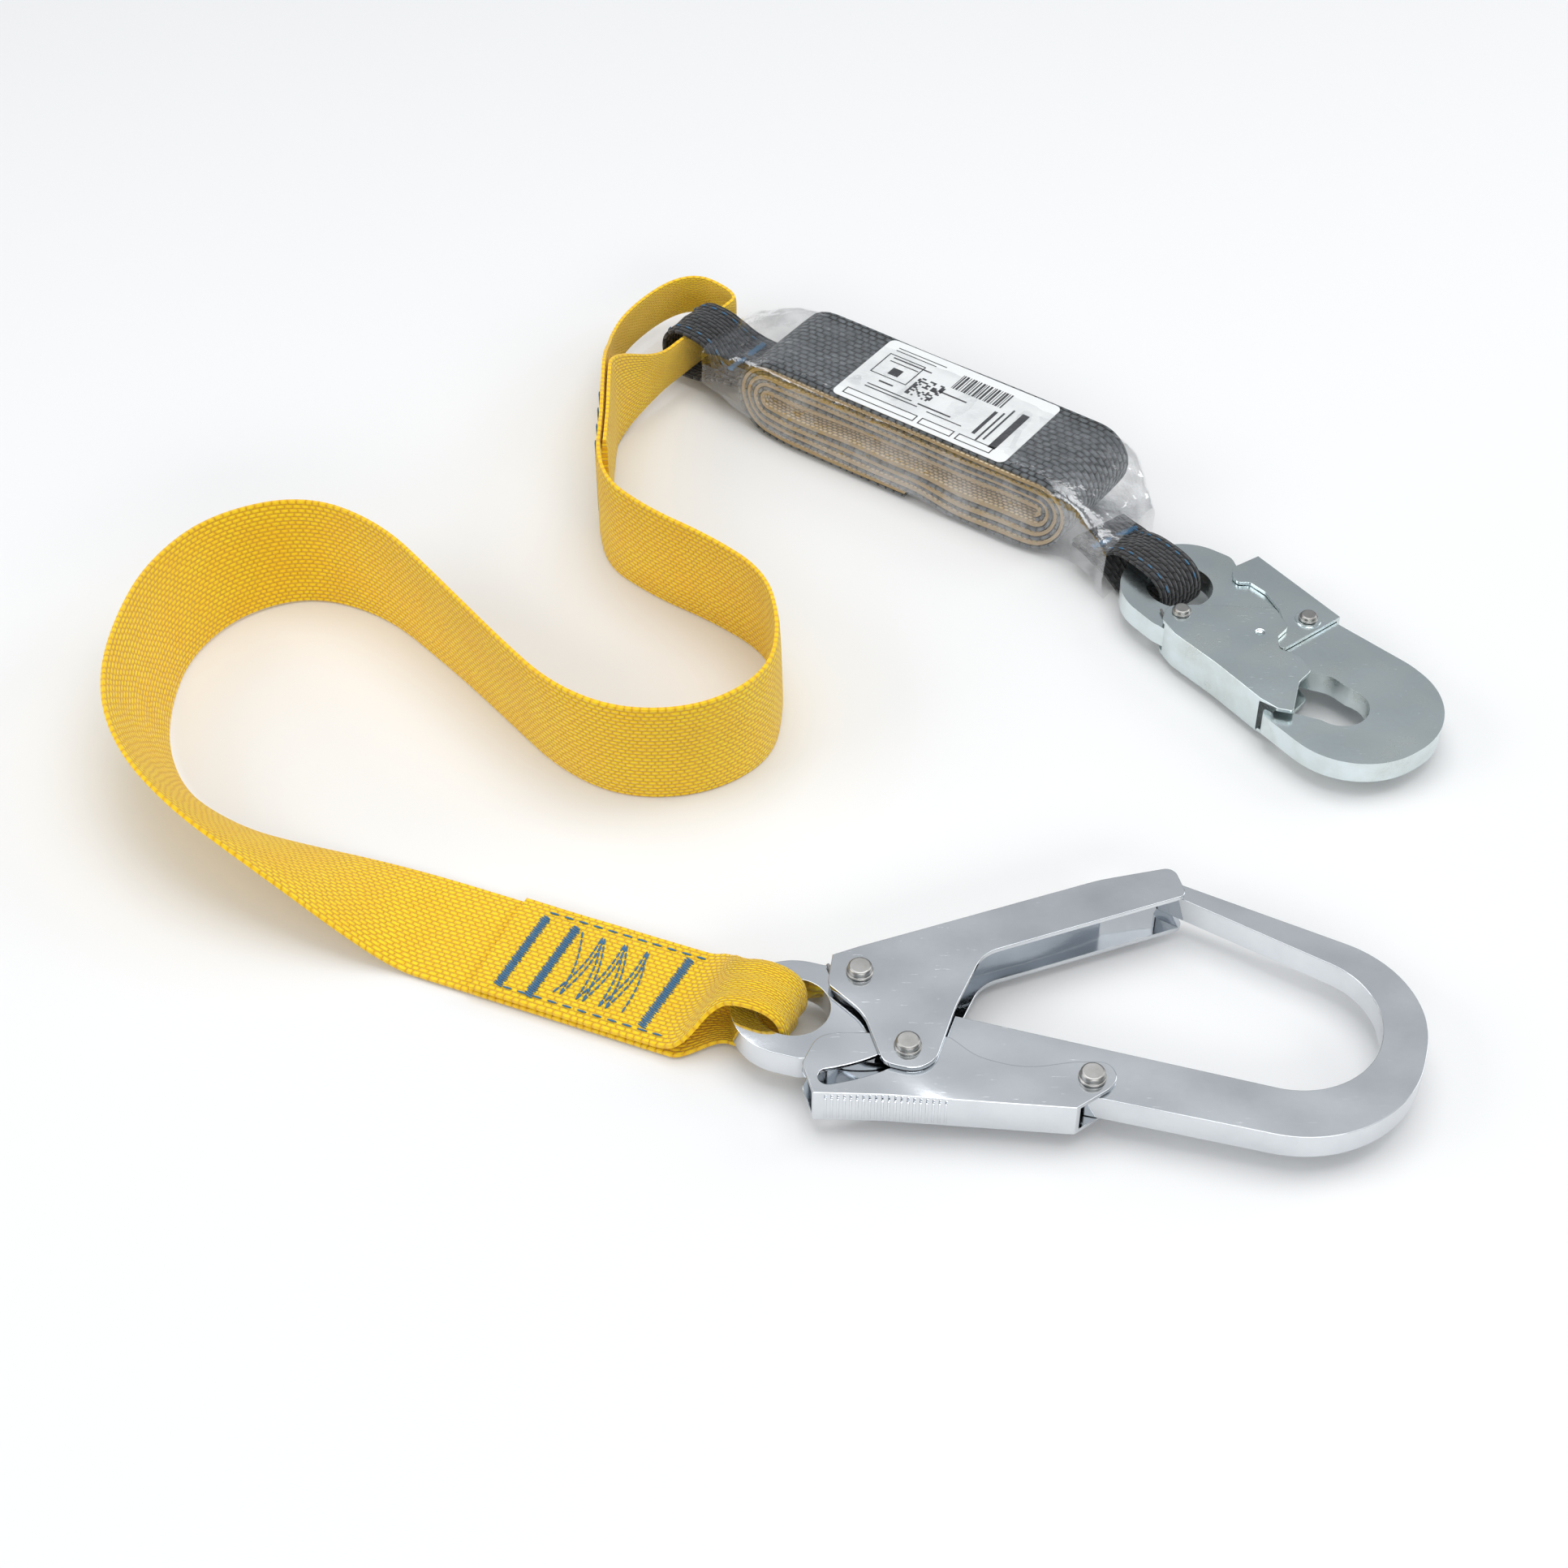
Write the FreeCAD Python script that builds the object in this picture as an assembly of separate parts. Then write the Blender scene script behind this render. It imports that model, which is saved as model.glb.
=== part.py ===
# Shock absorbing lanyard: a webbing strap with a scaffold hook sewn into one end
# and, linked to the other end, a rolled tear-webbing absorber with a snap hook.
# Millimetres, +Z up. The whole lanyard lies on a flat surface at z = 0.
import FreeCAD, Part
import math
import os

V = FreeCAD.Vector

# ---------------------------------------------------------------- driving sizes
WEB_WIDTH = 45.0            # yellow strap webbing
WEB_THICK = 2.4
LOOP_THICK = 2.0            # black absorber webbing
LINK_WIDTH = 20.0           # webbing bunched where it passes through a hook eye
PLY_GAP = 0.05              # between two sewn plies
RUN_CLEAR = 0.06            # radial clearance of a part that turns on its rivet
FIX_CLEAR = 0.02            # radial clearance of a rivet in the part that holds it
PLATE_GAP = 0.3             # side clearance between stamped plates and forgings
HEAD_PLAY = 0.15            # axial play under a rivet head
SWING_CLEAR = 0.35          # between a hook eye and the webbing that it swings in
FLOOR_GAP = 0.25            # under the rivet heads and the hooks' webbing loops

# scaffold hook, sizes in its own frame: origin at the lever rivet, X along the spine
BIG_PLACE = (99.9, -156.8)
BIG_TURN = -16.6
BIG_THICK = 10.0            # forged bar, top to bottom
BIG_EYE = (-102.0, 3.0)
BIG_EYE_HOLE = 12.5
BIG_EYE_RIM = 21.0
BIG_GATE_PIVOT = (-84.0, 21.0)
BIG_PIN = (-60.3, -5.8)
BIG_BOW = (58.0, 41.0)
BIG_BOW_R = 44.7
BIG_THROAT = (58.0, 44.5)
BIG_THROAT_R = 30.0
BIG_LEVER_SHEET = 1.5
BIG_GATE_SHEET = 1.8
BIG_RIVET_R = 2.6
BIG_HEAD_R = 4.6
BIG_HEAD_H = 3.2
BIG_GATE_SWING = 40.0       # degrees
BIG_LEVER_RATIO = 0.15      # lever turn for each degree of the gate

# snap hook, sizes in its own frame: origin at the gate rivet, X along the back edge
SMALL_FROM_PACK = (61.9, -44.7)  # gate rivet, measured from the pack's end
SMALL_TURN = -53.8
SMALL_THICK = 9.0
SMALL_EYE = (-15.0, 13.0)
SMALL_EYE_HOLE = 13.0
SMALL_EYE_RIM = 23.0
SMALL_LOCK_PIVOT = (30.5, 37.9)
SMALL_BOW = (75.0, 20.0)
SMALL_BOW_R = 31.7
SMALL_THROAT = (72.0, 14.5)
SMALL_THROAT_R = 11.0
SMALL_LOCK_SHEET = 1.5
SMALL_GATE_SHEET = 1.6
SMALL_RIVET_R = 2.3
SMALL_HEAD_R = 3.7
SMALL_HEAD_H = 2.1

# absorber pack, sizes in its own frame: origin under its middle, X along the pack
LINK_PLACE = (-35.6, 259.9)  # where the strap's eye hangs in the absorber's upper loop
LINK_FROM_PACK = (33.0, 5.0)  # from there to the pack's near end and its middle line
PACK_TURN = -35.8
PACK_LENGTH = 166.0
PACK_WIDTH = 48.0
CREAM_THICK = 2.4
GREY_THICK = 1.3
GREY_GAP = 0.1              # between the cream ply and the grey one on it
CORE_RADIUS = 0.7
HALF_TURNS = 7
SLEEVE_WALL = 0.5
SLEEVE_CLEAR = 0.5
LABEL_SIZE = (84.0, 46.0, 0.25)
LABEL_AT = 6.5              # middle of the label along the pack

# strap route in plan, from the sewn end at the absorber to the one at the hook
STRAP_ROUTE = [(-74, 150), (-73, 129), (-53, 108), (-28, 91), (-6, 70), (-1, 41), (-5, 13),
               (-28, -6), (-57, -8), (-82, 5), (-104, 32), (-130, 66), (-156, 97), (-187, 112),
               (-218, 100), (-236, 73), (-240, 42)]
# the last stretch turns the webbing from its edge on to its flat: x, y, z, roll in degrees
TWIST_ROUTE = [(-240, 42, 22.5, 0), (-239.5, 12, 22.4, 8), (-229, -16, 22.0, 18), (-206, -38, 20.5, 32),
               (-180, -51.5, 15.5, 50), (-152, -62.5, 8.5, 70)]
ORIGIN = (55.662, 58.588)  # plan position of the middle of everything but the free strap


# ---------------------------------------------------------------- plan helpers
def polar(center, radius, angle):
    a = math.radians(angle)
    return (center[0] + radius * math.cos(a), center[1] + radius * math.sin(a))


def corner_wire(corners):
    """Closed wire through (x, y, r) corners, each rounded with its radius."""
    count = len(corners)
    starts, ends, mids = [], [], []
    for i in range(count):
        here = V(corners[i][0], corners[i][1], 0)
        before = V(corners[i - 1][0], corners[i - 1][1], 0)
        after = V(corners[(i + 1) % count][0], corners[(i + 1) % count][1], 0)
        radius = corners[i][2] if len(corners[i]) > 2 else 0
        into = (here - before).normalize()
        out = (after - here).normalize()
        turn = math.atan2(into.cross(out).z, into.dot(out))
        if radius <= 0 or abs(turn) < 1e-6:
            starts.append(here)
            ends.append(here)
            mids.append(None)
            continue
        reach = radius * math.tan(abs(turn) / 2)
        inward = (out - into).normalize()
        center = here + inward * (radius / math.cos(turn / 2))
        starts.append(here - into * reach)
        ends.append(here + out * reach)
        mids.append(center - inward * radius)
    edges = []
    for i in range(count):
        if mids[i] is not None:
            edges.append(Part.Arc(starts[i], mids[i], ends[i]).toShape())
        nxt = starts[(i + 1) % count]
        if (nxt - ends[i]).Length > 1e-4:
            edges.append(Part.LineSegment(ends[i], nxt).toShape())
    return Part.Wire(edges)


def prism(corners, low, high):
    """Solid over a rounded outline, between two heights."""
    face = Part.Face(corner_wire(corners))
    face.translate(V(0, 0, low))
    return face.extrude(V(0, 0, high - low))


def meet(p, q, r, s):
    """Where the line through p and q crosses the line through r and s."""
    ax, ay = q[0] - p[0], q[1] - p[1]
    bx, by = s[0] - r[0], s[1] - r[1]
    along = ((r[0] - p[0]) * by - (r[1] - p[1]) * bx) / (ax * by - ay * bx)
    return (p[0] + ax * along, p[1] + ay * along)


def offset_line(points, distance):
    """A polyline moved sideways to its left, mitred at its corners."""
    moved = []
    sides = []
    for a, b in zip(points[:-1], points[1:]):
        length = math.hypot(b[0] - a[0], b[1] - a[1])
        shift = (-(b[1] - a[1]) / length * distance, (b[0] - a[0]) / length * distance)
        sides.append(((a[0] + shift[0], a[1] + shift[1]), (b[0] + shift[0], b[1] + shift[1])))
    moved.append(sides[0][0])
    for first, second in zip(sides[:-1], sides[1:]):
        moved.append(meet(first[0], first[1], second[0], second[1]))
    moved.append(sides[-1][1])
    return moved


def ribbon(corners, thick):
    """Closed outline of a band of one thickness along an open line of (x, y, r) corners."""
    left = offset_line(corners, thick / 2)
    right = offset_line(corners, -thick / 2)
    outline_left, outline_right = [], []
    for i in range(len(corners)):
        radius = corners[i][2] if len(corners[i]) > 2 else 0
        side = 0
        if radius:
            a, b, c = corners[i - 1], corners[i], corners[i + 1]
            cross = (b[0] - a[0]) * (c[1] - b[1]) - (b[1] - a[1]) * (c[0] - b[0])
            side = 1 if cross > 0 else -1
        outline_left.append((left[i][0], left[i][1], radius - side * thick / 2 if radius else 0))
        outline_right.append((right[i][0], right[i][1], radius + side * thick / 2 if radius else 0))
    return outline_left + outline_right[::-1]


def cylinder(center, radius, low, high):
    return Part.makeCylinder(radius, high - low, V(center[0], center[1], low))


def side_prism(corners, low, high):
    """Solid over an outline drawn in X and Z, between two Y values."""
    solid = prism(corners, -high, -low)
    solid.rotate(V(0, 0, 0), V(1, 0, 0), 90)
    return solid


def place(shape, at, turn, lift=0.0):
    """A piece moved from its own frame to its place on the plan."""
    moved = shape.copy()
    moved.rotate(V(0, 0, 0), V(0, 0, 1), turn)
    moved.translate(V(at[0] - ORIGIN[0], at[1] - ORIGIN[1], lift))
    return moved


def plan_point(local, at, turn):
    a = math.radians(turn)
    x = at[0] + local[0] * math.cos(a) - local[1] * math.sin(a)
    y = at[1] + local[0] * math.sin(a) + local[1] * math.cos(a)
    return (x, y)


def channel(outline, inside, gap, sheet):
    """Stamped channel: two plates over an outline, open except along one wall."""
    outer = gap + sheet
    block = prism(outline, -outer, outer)
    return block.cut(prism(inside, -gap, gap))


def rivet(at, shank, head, head_height, grip):
    """Rivet with a low collar and a rounded head at each end of its grip."""
    body = cylinder(at, shank, -grip, grip)
    collar = 0.8
    for side in (-1, 1):
        low, high = sorted((side * grip, side * (grip + head_height)))
        top = cylinder(at, head - 0.5, low, high)
        rim = side * (grip + head_height)
        edge = [e for e in top.Edges if abs(e.BoundBox.ZMin - rim) < 1e-6 and abs(e.BoundBox.ZMax - rim) < 1e-6]
        top = top.makeFillet(0.9, edge)
        low, high = sorted((side * grip, side * (grip + collar)))
        body = body.fuse(top).fuse(cylinder(at, head, low, high))
    return body.removeSplitter()


def torsion_spring(at, radius, wire, height, leg_angle, leg):
    """One open coil of wire round a pivot, with a straight leg that leaves it."""
    start = V(radius, 0, 0)
    coil = Part.Arc(start, V(*polar((0, 0), radius, 150), 0), V(*polar((0, 0), radius, 300), 0)).toShape()
    tail = Part.LineSegment(V(radius, -leg, 0), start).toShape()
    path = Part.Wire([tail, coil])
    ring = Part.Wire([Part.Circle(V(radius, -leg, 0), V(0, 1, 0), wire / 2).toShape()])
    spring = path.makePipeShell([ring], True, True)
    spring.rotate(V(0, 0, 0), V(0, 0, 1), leg_angle)
    spring.translate(V(at[0], at[1], height))
    return spring


# ---------------------------------------------------------------- places on the plan
PACK_PLACE = plan_point((PACK_LENGTH / 2 + LINK_FROM_PACK[0], LINK_FROM_PACK[1]), LINK_PLACE, PACK_TURN)
SMALL_PLACE = plan_point((PACK_LENGTH / 2 + SMALL_FROM_PACK[0], SMALL_FROM_PACK[1]), PACK_PLACE, PACK_TURN)


# ---------------------------------------------------------------- scaffold hook
BIG_HALF = BIG_THICK / 2
BIG_LEVER_GAP = BIG_HALF + PLATE_GAP
BIG_LEVER_OUT = BIG_LEVER_GAP + BIG_LEVER_SHEET
BIG_GATE_GAP = BIG_LEVER_OUT + PLATE_GAP
BIG_GATE_OUT = BIG_GATE_GAP + BIG_GATE_SHEET
BIG_PIN_REACH = math.hypot(BIG_PIN[0] - BIG_GATE_PIVOT[0], BIG_PIN[1] - BIG_GATE_PIVOT[1])
BIG_PIN_ANGLE = math.degrees(math.atan2(BIG_PIN[1] - BIG_GATE_PIVOT[1], BIG_PIN[0] - BIG_GATE_PIVOT[0]))


def big_body():
    rim, eye = BIG_EYE_RIM, BIG_EYE
    bow, bow_r = BIG_BOW, BIG_BOW_R
    throat, throat_r = BIG_THROAT, BIG_THROAT_R
    spine_out = bow[1] - bow_r
    spine_in = throat[1] - throat_r
    outline = [
        (4, bow[1] + 56, 2.5),
        (bow[0] + bow_r, bow[1] + 0.82 * bow_r, bow_r * 0.9),
        (bow[0] + bow_r, spine_out, bow_r * 0.98),
        (-44, spine_out - 4, 3),
        (-56, spine_out - 2, 3),
        (eye[0] + 8, eye[1] - rim, 5),
        (eye[0] - rim, eye[1] - rim, rim),
        (eye[0] - rim, eye[1] + rim, rim),
        (BIG_GATE_PIVOT[0] - 12, eye[1] + rim, 4),
        (BIG_GATE_PIVOT[0] - 8, BIG_GATE_PIVOT[1] + 7.5, 3),
        (BIG_GATE_PIVOT[0] + 8, BIG_GATE_PIVOT[1] + 7.5, 7),
        (BIG_GATE_PIVOT[0] + 14, spine_in, 5),
        (throat[0] + 0.97 * throat_r, spine_in, throat_r * 0.97),
        (throat[0] + 0.97 * throat_r, throat[1] + 0.76 * throat_r, throat_r * 0.93),
        (3, bow[1] + 50.5, 2),
    ]
    body = prism(outline, -BIG_HALF, BIG_HALF)
    # room for the lock pin that swings round the gate rivet
    sweep = Part.makeCylinder(60, BIG_THICK * 2, V(0, 0, -BIG_THICK), V(0, 0, 1), BIG_GATE_SWING + 16)
    sweep.rotate(V(0, 0, 0), V(0, 0, 1), BIG_PIN_ANGLE - BIG_GATE_SWING - 8)
    sweep.translate(V(BIG_GATE_PIVOT[0], BIG_GATE_PIVOT[1], 0))
    keep = cylinder(BIG_GATE_PIVOT, BIG_PIN_REACH - BIG_RIVET_R - 1.8, -BIG_THICK, BIG_THICK)
    body = body.cut(sweep.cut(keep))
    body = body.fuse(cylinder(BIG_GATE_PIVOT, 7.2, -BIG_GATE_GAP + PLATE_GAP / 2, BIG_GATE_GAP - PLATE_GAP / 2))
    body = body.cut(cylinder(eye, BIG_EYE_HOLE, -BIG_THICK, BIG_THICK))
    body = body.cut(cylinder(throat, throat_r, -BIG_THICK, BIG_THICK))
    for at in (BIG_GATE_PIVOT, (0, 0)):
        body = body.cut(cylinder(at, BIG_RIVET_R + FIX_CLEAR, -BIG_THICK, BIG_THICK))
    return body.removeSplitter()


def big_gate():
    a, b, s = BIG_GATE_PIVOT, BIG_PIN, BIG_GATE_SHEET
    back = [(a[0] - 11, a[1] + 5), (a[0] - 3, a[1] + 11.5), (-69, 46), (-16, 86)]
    tip = [(7.5, 99.5, 4), (14.5, 87.5, 3)]
    front = [(-46.5, 41, 14), (-49.5, 16, 60), (b[0] + 10.2, b[1] - 9, 9.5), (b[0] - 6, b[1] - 9, 6),
             (a[0] + 6, a[1] - 17, 20), (a[0] - 9, a[1] - 8, 4)]
    outline = [(a[0] - 11, a[1] + 5), (a[0] - 3, a[1] + 11.5, 5), (-69, 46, 30), (-16, 86, 60)] + tip + front
    wall_inner = offset_line(back, -s)
    wall_stop = -14.0
    start = wall_inner[1]
    end = meet(wall_inner[-2], wall_inner[-1], (wall_stop, 0), (wall_stop, 1))
    inside = [start, wall_inner[2], end, (wall_stop, 130), (60, 130), (60, -60), (-140, -60), (-140, 130),
              (start[0], 130)]
    gate = channel(outline, inside, BIG_GATE_GAP, s)
    for at in (a, b):
        radius = BIG_RIVET_R + (RUN_CLEAR if at is a else FIX_CLEAR)
        gate = gate.cut(cylinder(at, radius, -BIG_GATE_OUT - 1, BIG_GATE_OUT + 1))
    return gate.removeSplitter()


def big_pin_in_lever(gate_angle):
    """Where the lock pin stands in the lever's own frame when the gate has turned."""
    angle = BIG_PIN_ANGLE - gate_angle
    x, y = polar(BIG_GATE_PIVOT, BIG_PIN_REACH, angle)
    back = math.radians(gate_angle * BIG_LEVER_RATIO)
    return (x * math.cos(back) - y * math.sin(back), x * math.sin(back) + y * math.cos(back))


def curved_slot(start, middle, end, radius, low, high):
    """Round-ended slot along the arc through three points."""
    arc = Part.Arc(V(*start, 0), V(*middle, 0), V(*end, 0))
    circle = arc.toShape().Curve
    center, reach = circle.Center, circle.Radius
    points = []
    for p in (start, middle, end):
        out = (V(*p, 0) - center).normalize()
        points.append((center + out * (reach + radius), center + out * (reach - radius), out))
    along_start = (V(*start, 0) - V(*middle, 0)).normalize()
    along_end = (V(*end, 0) - V(*middle, 0)).normalize()
    tips = []
    for p, spot, toward in ((start, 0, along_start), (end, 2, along_end)):
        out = points[spot][2]
        side = toward - out * toward.dot(out)
        tips.append(V(*p, 0) + side.normalize() * radius)
    edges = [Part.Arc(points[0][0], points[1][0], points[2][0]).toShape(),
             Part.Arc(points[2][0], tips[1], points[2][1]).toShape(),
             Part.Arc(points[2][1], points[1][1], points[0][1]).toShape(),
             Part.Arc(points[0][1], tips[0], points[0][0]).toShape()]
    face = Part.Face(Part.Wire(edges))
    face.translate(V(0, 0, low))
    return face.extrude(V(0, 0, high - low))


def big_lever():
    s = BIG_LEVER_SHEET
    back = [(-2, -14), (-39, -21.5), (-62, -26), (-85, -32)]
    outline = [(6.5, -3, 5), (-2, -14)] + [(-39, -21.5, 60), (-62, -26, 60), (-85, -32)] + [
        (-92, -21, 4), (-90.5, -8, 8), (-83, -4.5, 5), (-72, -1.5, 8), (-62, 3.5, 6), (-48, 3.5, 4),
        (-38, -2, 20), (-22, -2.5, 30), (-7, 5, 20), (4, 8.2, 5), (8.2, 2.5, 5)]
    wall_inner = offset_line(back, -s)
    inside = [wall_inner[0], wall_inner[1], wall_inner[2], wall_inner[3]]
    inside = inside + [(-130, wall_inner[3][1]), (-130, 40), (40, 40), (40, wall_inner[0][1])]
    lever = channel(outline, inside, BIG_LEVER_GAP, s)
    lever = lever.cut(cylinder((0, 0), BIG_RIVET_R + RUN_CLEAR, -BIG_LEVER_OUT - 1, BIG_LEVER_OUT + 1))
    slot = curved_slot(big_pin_in_lever(-2), big_pin_in_lever(BIG_GATE_SWING / 2),
                       big_pin_in_lever(BIG_GATE_SWING + 2), BIG_RIVET_R + 0.7,
                       -BIG_LEVER_OUT - 1, BIG_LEVER_OUT + 1)
    return lever.cut(slot).removeSplitter()


def big_lever_spring():
    """Leaf spring along the lever's wall, bent up toward the hook's spine."""
    wall = offset_line([(-2, -14), (-39, -21.5)], -BIG_LEVER_SHEET - PLY_GAP - 0.4)
    a, b = wall
    foot = (b[0] + 6, b[1] + 6 * (a[1] - b[1]) / (a[0] - b[0]))
    heel = (b[0] + 20, b[1] + 20 * (a[1] - b[1]) / (a[0] - b[0]))
    toe = (b[0] + 8, heel[1] + 2.4)
    return prism(ribbon([foot, (heel[0], heel[1], 1.4), toe], 0.8), -3.2, 3.2)


# ---------------------------------------------------------------- snap hook
SMALL_HALF = SMALL_THICK / 2
SMALL_LOCK_GAP = SMALL_HALF + PLATE_GAP
SMALL_LOCK_OUT = SMALL_LOCK_GAP + SMALL_LOCK_SHEET
SMALL_GATE_GAP = SMALL_LOCK_OUT + PLATE_GAP
SMALL_GATE_OUT = SMALL_GATE_GAP + SMALL_GATE_SHEET


def small_body():
    eye, rim = SMALL_EYE, SMALL_EYE_RIM
    bow, bow_r = SMALL_BOW, SMALL_BOW_R
    throat, throat_r = SMALL_THROAT, SMALL_THROAT_R
    p2 = SMALL_LOCK_PIVOT
    outline = [
        (eye[0] - rim, eye[1] - rim, rim),
        (eye[0] - rim, eye[1] + rim - 2, rim - 2),
        (eye[0] - 1, eye[1] + rim + 5.5, 6),
        (eye[0] + 5, eye[1] + rim + 3, 1.5),
        (eye[0] + 6, eye[1] + rim - 1.5, 1.5),
        (p2[0] - 14, p2[1] - 1, 8),
        (p2[0] - 7, p2[1] + 6.5, 5),
        (p2[0] + 6, p2[1] + 8.8, 2),
        (bow[0] - 4, bow[1] + bow_r + 0.6, 30),
        (bow[0] + bow_r, bow[1] + bow_r, bow_r - 1),
        (bow[0] + bow_r, bow[1] - bow_r, bow_r - 1),
        (56, bow[1] - bow_r - 0.5, 3),
        (57.5, -6.5, 2),
        (throat[0] - 6, throat[1] - 1.45 * throat_r, 3),
        (throat[0] + 0.96 * throat_r, throat[1] - 0.45 * throat_r, 0.55 * throat_r),
        (throat[0] + 0.96 * throat_r, throat[1] + throat_r, 0.95 * throat_r),
        (throat[0] - 14, throat[1] + throat_r - 2, 10),
        (48, 16.5, 3),
        (12, -5, 4),
        (2, -8.5, 6),
        (-5, eye[1] - rim, 12),
    ]
    body = prism(outline, -SMALL_HALF, SMALL_HALF)
    body = body.fuse(cylinder((0, 0), 5.4, -SMALL_GATE_GAP + PLATE_GAP / 2, SMALL_GATE_GAP - PLATE_GAP / 2))
    body = body.cut(cylinder(eye, SMALL_EYE_HOLE, -SMALL_THICK, SMALL_THICK))
    body = body.cut(cylinder(throat, throat_r, -SMALL_THICK, SMALL_THICK))
    for at in ((0, 0), p2):
        body = body.cut(cylinder(at, SMALL_RIVET_R + FIX_CLEAR, -SMALL_THICK, SMALL_THICK))
    return body.removeSplitter()


def small_gate():
    s = SMALL_GATE_SHEET
    back = [(54, -9.6), (30, -9.4), (8, -10.6)]
    outline = [(54, -9.6), (30, -9.4, 60), (8, -10.6), (-1.5, -8.6, 3), (-6.2, -2, 5), (-2, 5, 4),
               (19.5, 31, 2.5), (30.8, 27, 3), (32.5, 19.8, 3), (38, 15.5, 3), (45, 19.2, 3.5),
               (54, 17, 3.5), (56, 8.5, 4), (66.5, -4.6, 1.2), (62, -8.2, 1.2)]
    wall_inner = offset_line(back, -s)
    inside = [wall_inner[0], wall_inner[1], wall_inner[2], (-40, wall_inner[2][1]), (-40, 70), (100, 70),
              (100, -40), (wall_inner[0][0], -40)]
    gate = channel(outline, inside, SMALL_GATE_GAP, s)
    gate = gate.cut(cylinder((0, 0), SMALL_RIVET_R + RUN_CLEAR, -SMALL_GATE_OUT - 1, SMALL_GATE_OUT + 1))
    dimple = Part.makeSphere(2.6, V(26.4, 16.3, SMALL_GATE_OUT + 1.8))
    return gate.cut(dimple).removeSplitter()


def small_lock():
    s = SMALL_LOCK_SHEET
    p2 = SMALL_LOCK_PIVOT
    top = p2[1] + 8.9 + PLATE_GAP + s + 0.3
    outline = [(p2[0] + 6.2, top), (-9, top), (-9.8, 36, 3), (-5.5, 32, 2), (-2, 31.5, 2), (1, 35.3, 2),
               (9, 36, 6), (19, 33.5, 8), (28.5, 28, 8), (32, 20, 4), (37.4, 17, 1.5)]
    inside = [(60, top - s), (-30, top - s), (-30, 0), (60, 0)]
    lock = channel(outline, inside, SMALL_LOCK_GAP, s)
    for side in (-1, 1):
        low, high = sorted((side * SMALL_LOCK_OUT, side * (SMALL_LOCK_OUT + 0.5)))
        lock = lock.fuse(cylinder(p2, 5.0, low, high))
    reach = SMALL_LOCK_OUT + 2
    return lock.cut(cylinder(p2, SMALL_RIVET_R + RUN_CLEAR, -reach, reach)).removeSplitter()


def small_lock_spring():
    """Leaf spring under the lock's wall, bent toward the hook's back."""
    wall = SMALL_LOCK_PIVOT[1] + 8.9 + PLATE_GAP + 0.3 - PLY_GAP - 0.35
    path = [(14, wall), (4, wall, 3), (-4, wall - 2, 3), (-7, wall - 2)]
    return prism(ribbon(path, 0.7), -3, 3)


# ---------------------------------------------------------------- absorber pack
PLY_STACK = CREAM_THICK + GREY_GAP + GREY_THICK
PLY_PITCH = PLY_STACK + GREY_GAP
ROLL_OUT = CORE_RADIUS + (HALF_TURNS - 1) * PLY_PITCH / 2 + PLY_STACK
ROLL_STRAIGHT = PACK_LENGTH / 2 - ROLL_OUT - PLY_PITCH / 2
PACK_MID = ROLL_OUT + SLEEVE_WALL + SLEEVE_CLEAR - PLY_PITCH / 2


def spiral_side(offset):
    """Edges of one side of a ply wound flat round two centres, from the core out."""
    half = ROLL_STRAIGHT
    edges = []
    for i in range(HALF_TURNS):
        radius = CORE_RADIUS + i * PLY_PITCH / 2 + offset
        side = 1 if i % 2 == 0 else -1
        middle = 0 if side > 0 else -PLY_PITCH / 2
        low = V(side * half, 0, middle - radius)
        out = V(side * (half + radius), 0, middle)
        high = V(side * half, 0, middle + radius)
        first, last = (low, high) if side > 0 else (high, low)
        if edges:
            edges.append(Part.LineSegment(edges[-1].Vertexes[-1].Point, first).toShape())
        edges.append(Part.Arc(first, out, last).toShape())
    tail = edges[-1].Vertexes[-1].Point
    if HALF_TURNS % 2 == 0:
        edges.append(Part.LineSegment(tail, V(-5, 0, tail.z)).toShape())
    else:
        edges.append(Part.LineSegment(tail, V(-half + 4, 0, tail.z)).toShape())
    return edges


def ply(inner, outer):
    """One ply of the roll, between two offsets from the winding line."""
    a, b = spiral_side(inner), spiral_side(outer)
    start = Part.LineSegment(a[0].Vertexes[0].Point, b[0].Vertexes[0].Point).toShape()
    end = Part.LineSegment(a[-1].Vertexes[-1].Point, b[-1].Vertexes[-1].Point).toShape()
    face = Part.Face(Part.Wire(Part.__sortEdges__(a + b + [start, end])))
    face.translate(V(0, -PACK_WIDTH / 2, 0))
    return face.extrude(V(0, PACK_WIDTH, 0))


def pack_rolls():
    cream = ply(0, CREAM_THICK)
    grey = ply(CREAM_THICK + GREY_GAP, PLY_STACK)
    low = grey.BoundBox.ZMin
    lift = SLEEVE_WALL + SLEEVE_CLEAR - low
    for roll in (cream, grey):
        roll.translate(V(0, 0, lift))
    return cream, grey


def rounded_section(x, center, width, low, high, radius):
    """Rounded rectangle across the pack at one place along it."""
    y0, y1 = center - width / 2, center + width / 2
    wire = corner_wire([(y0, low, radius), (y1, low, radius), (y1, high, radius), (y0, high, radius)])
    wire.rotate(V(0, 0, 0), V(1, 0, 0), 90)
    wire.rotate(V(0, 0, 0), V(0, 0, 1), 90)
    wire.translate(V(x, 0, 0))
    return wire


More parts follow.
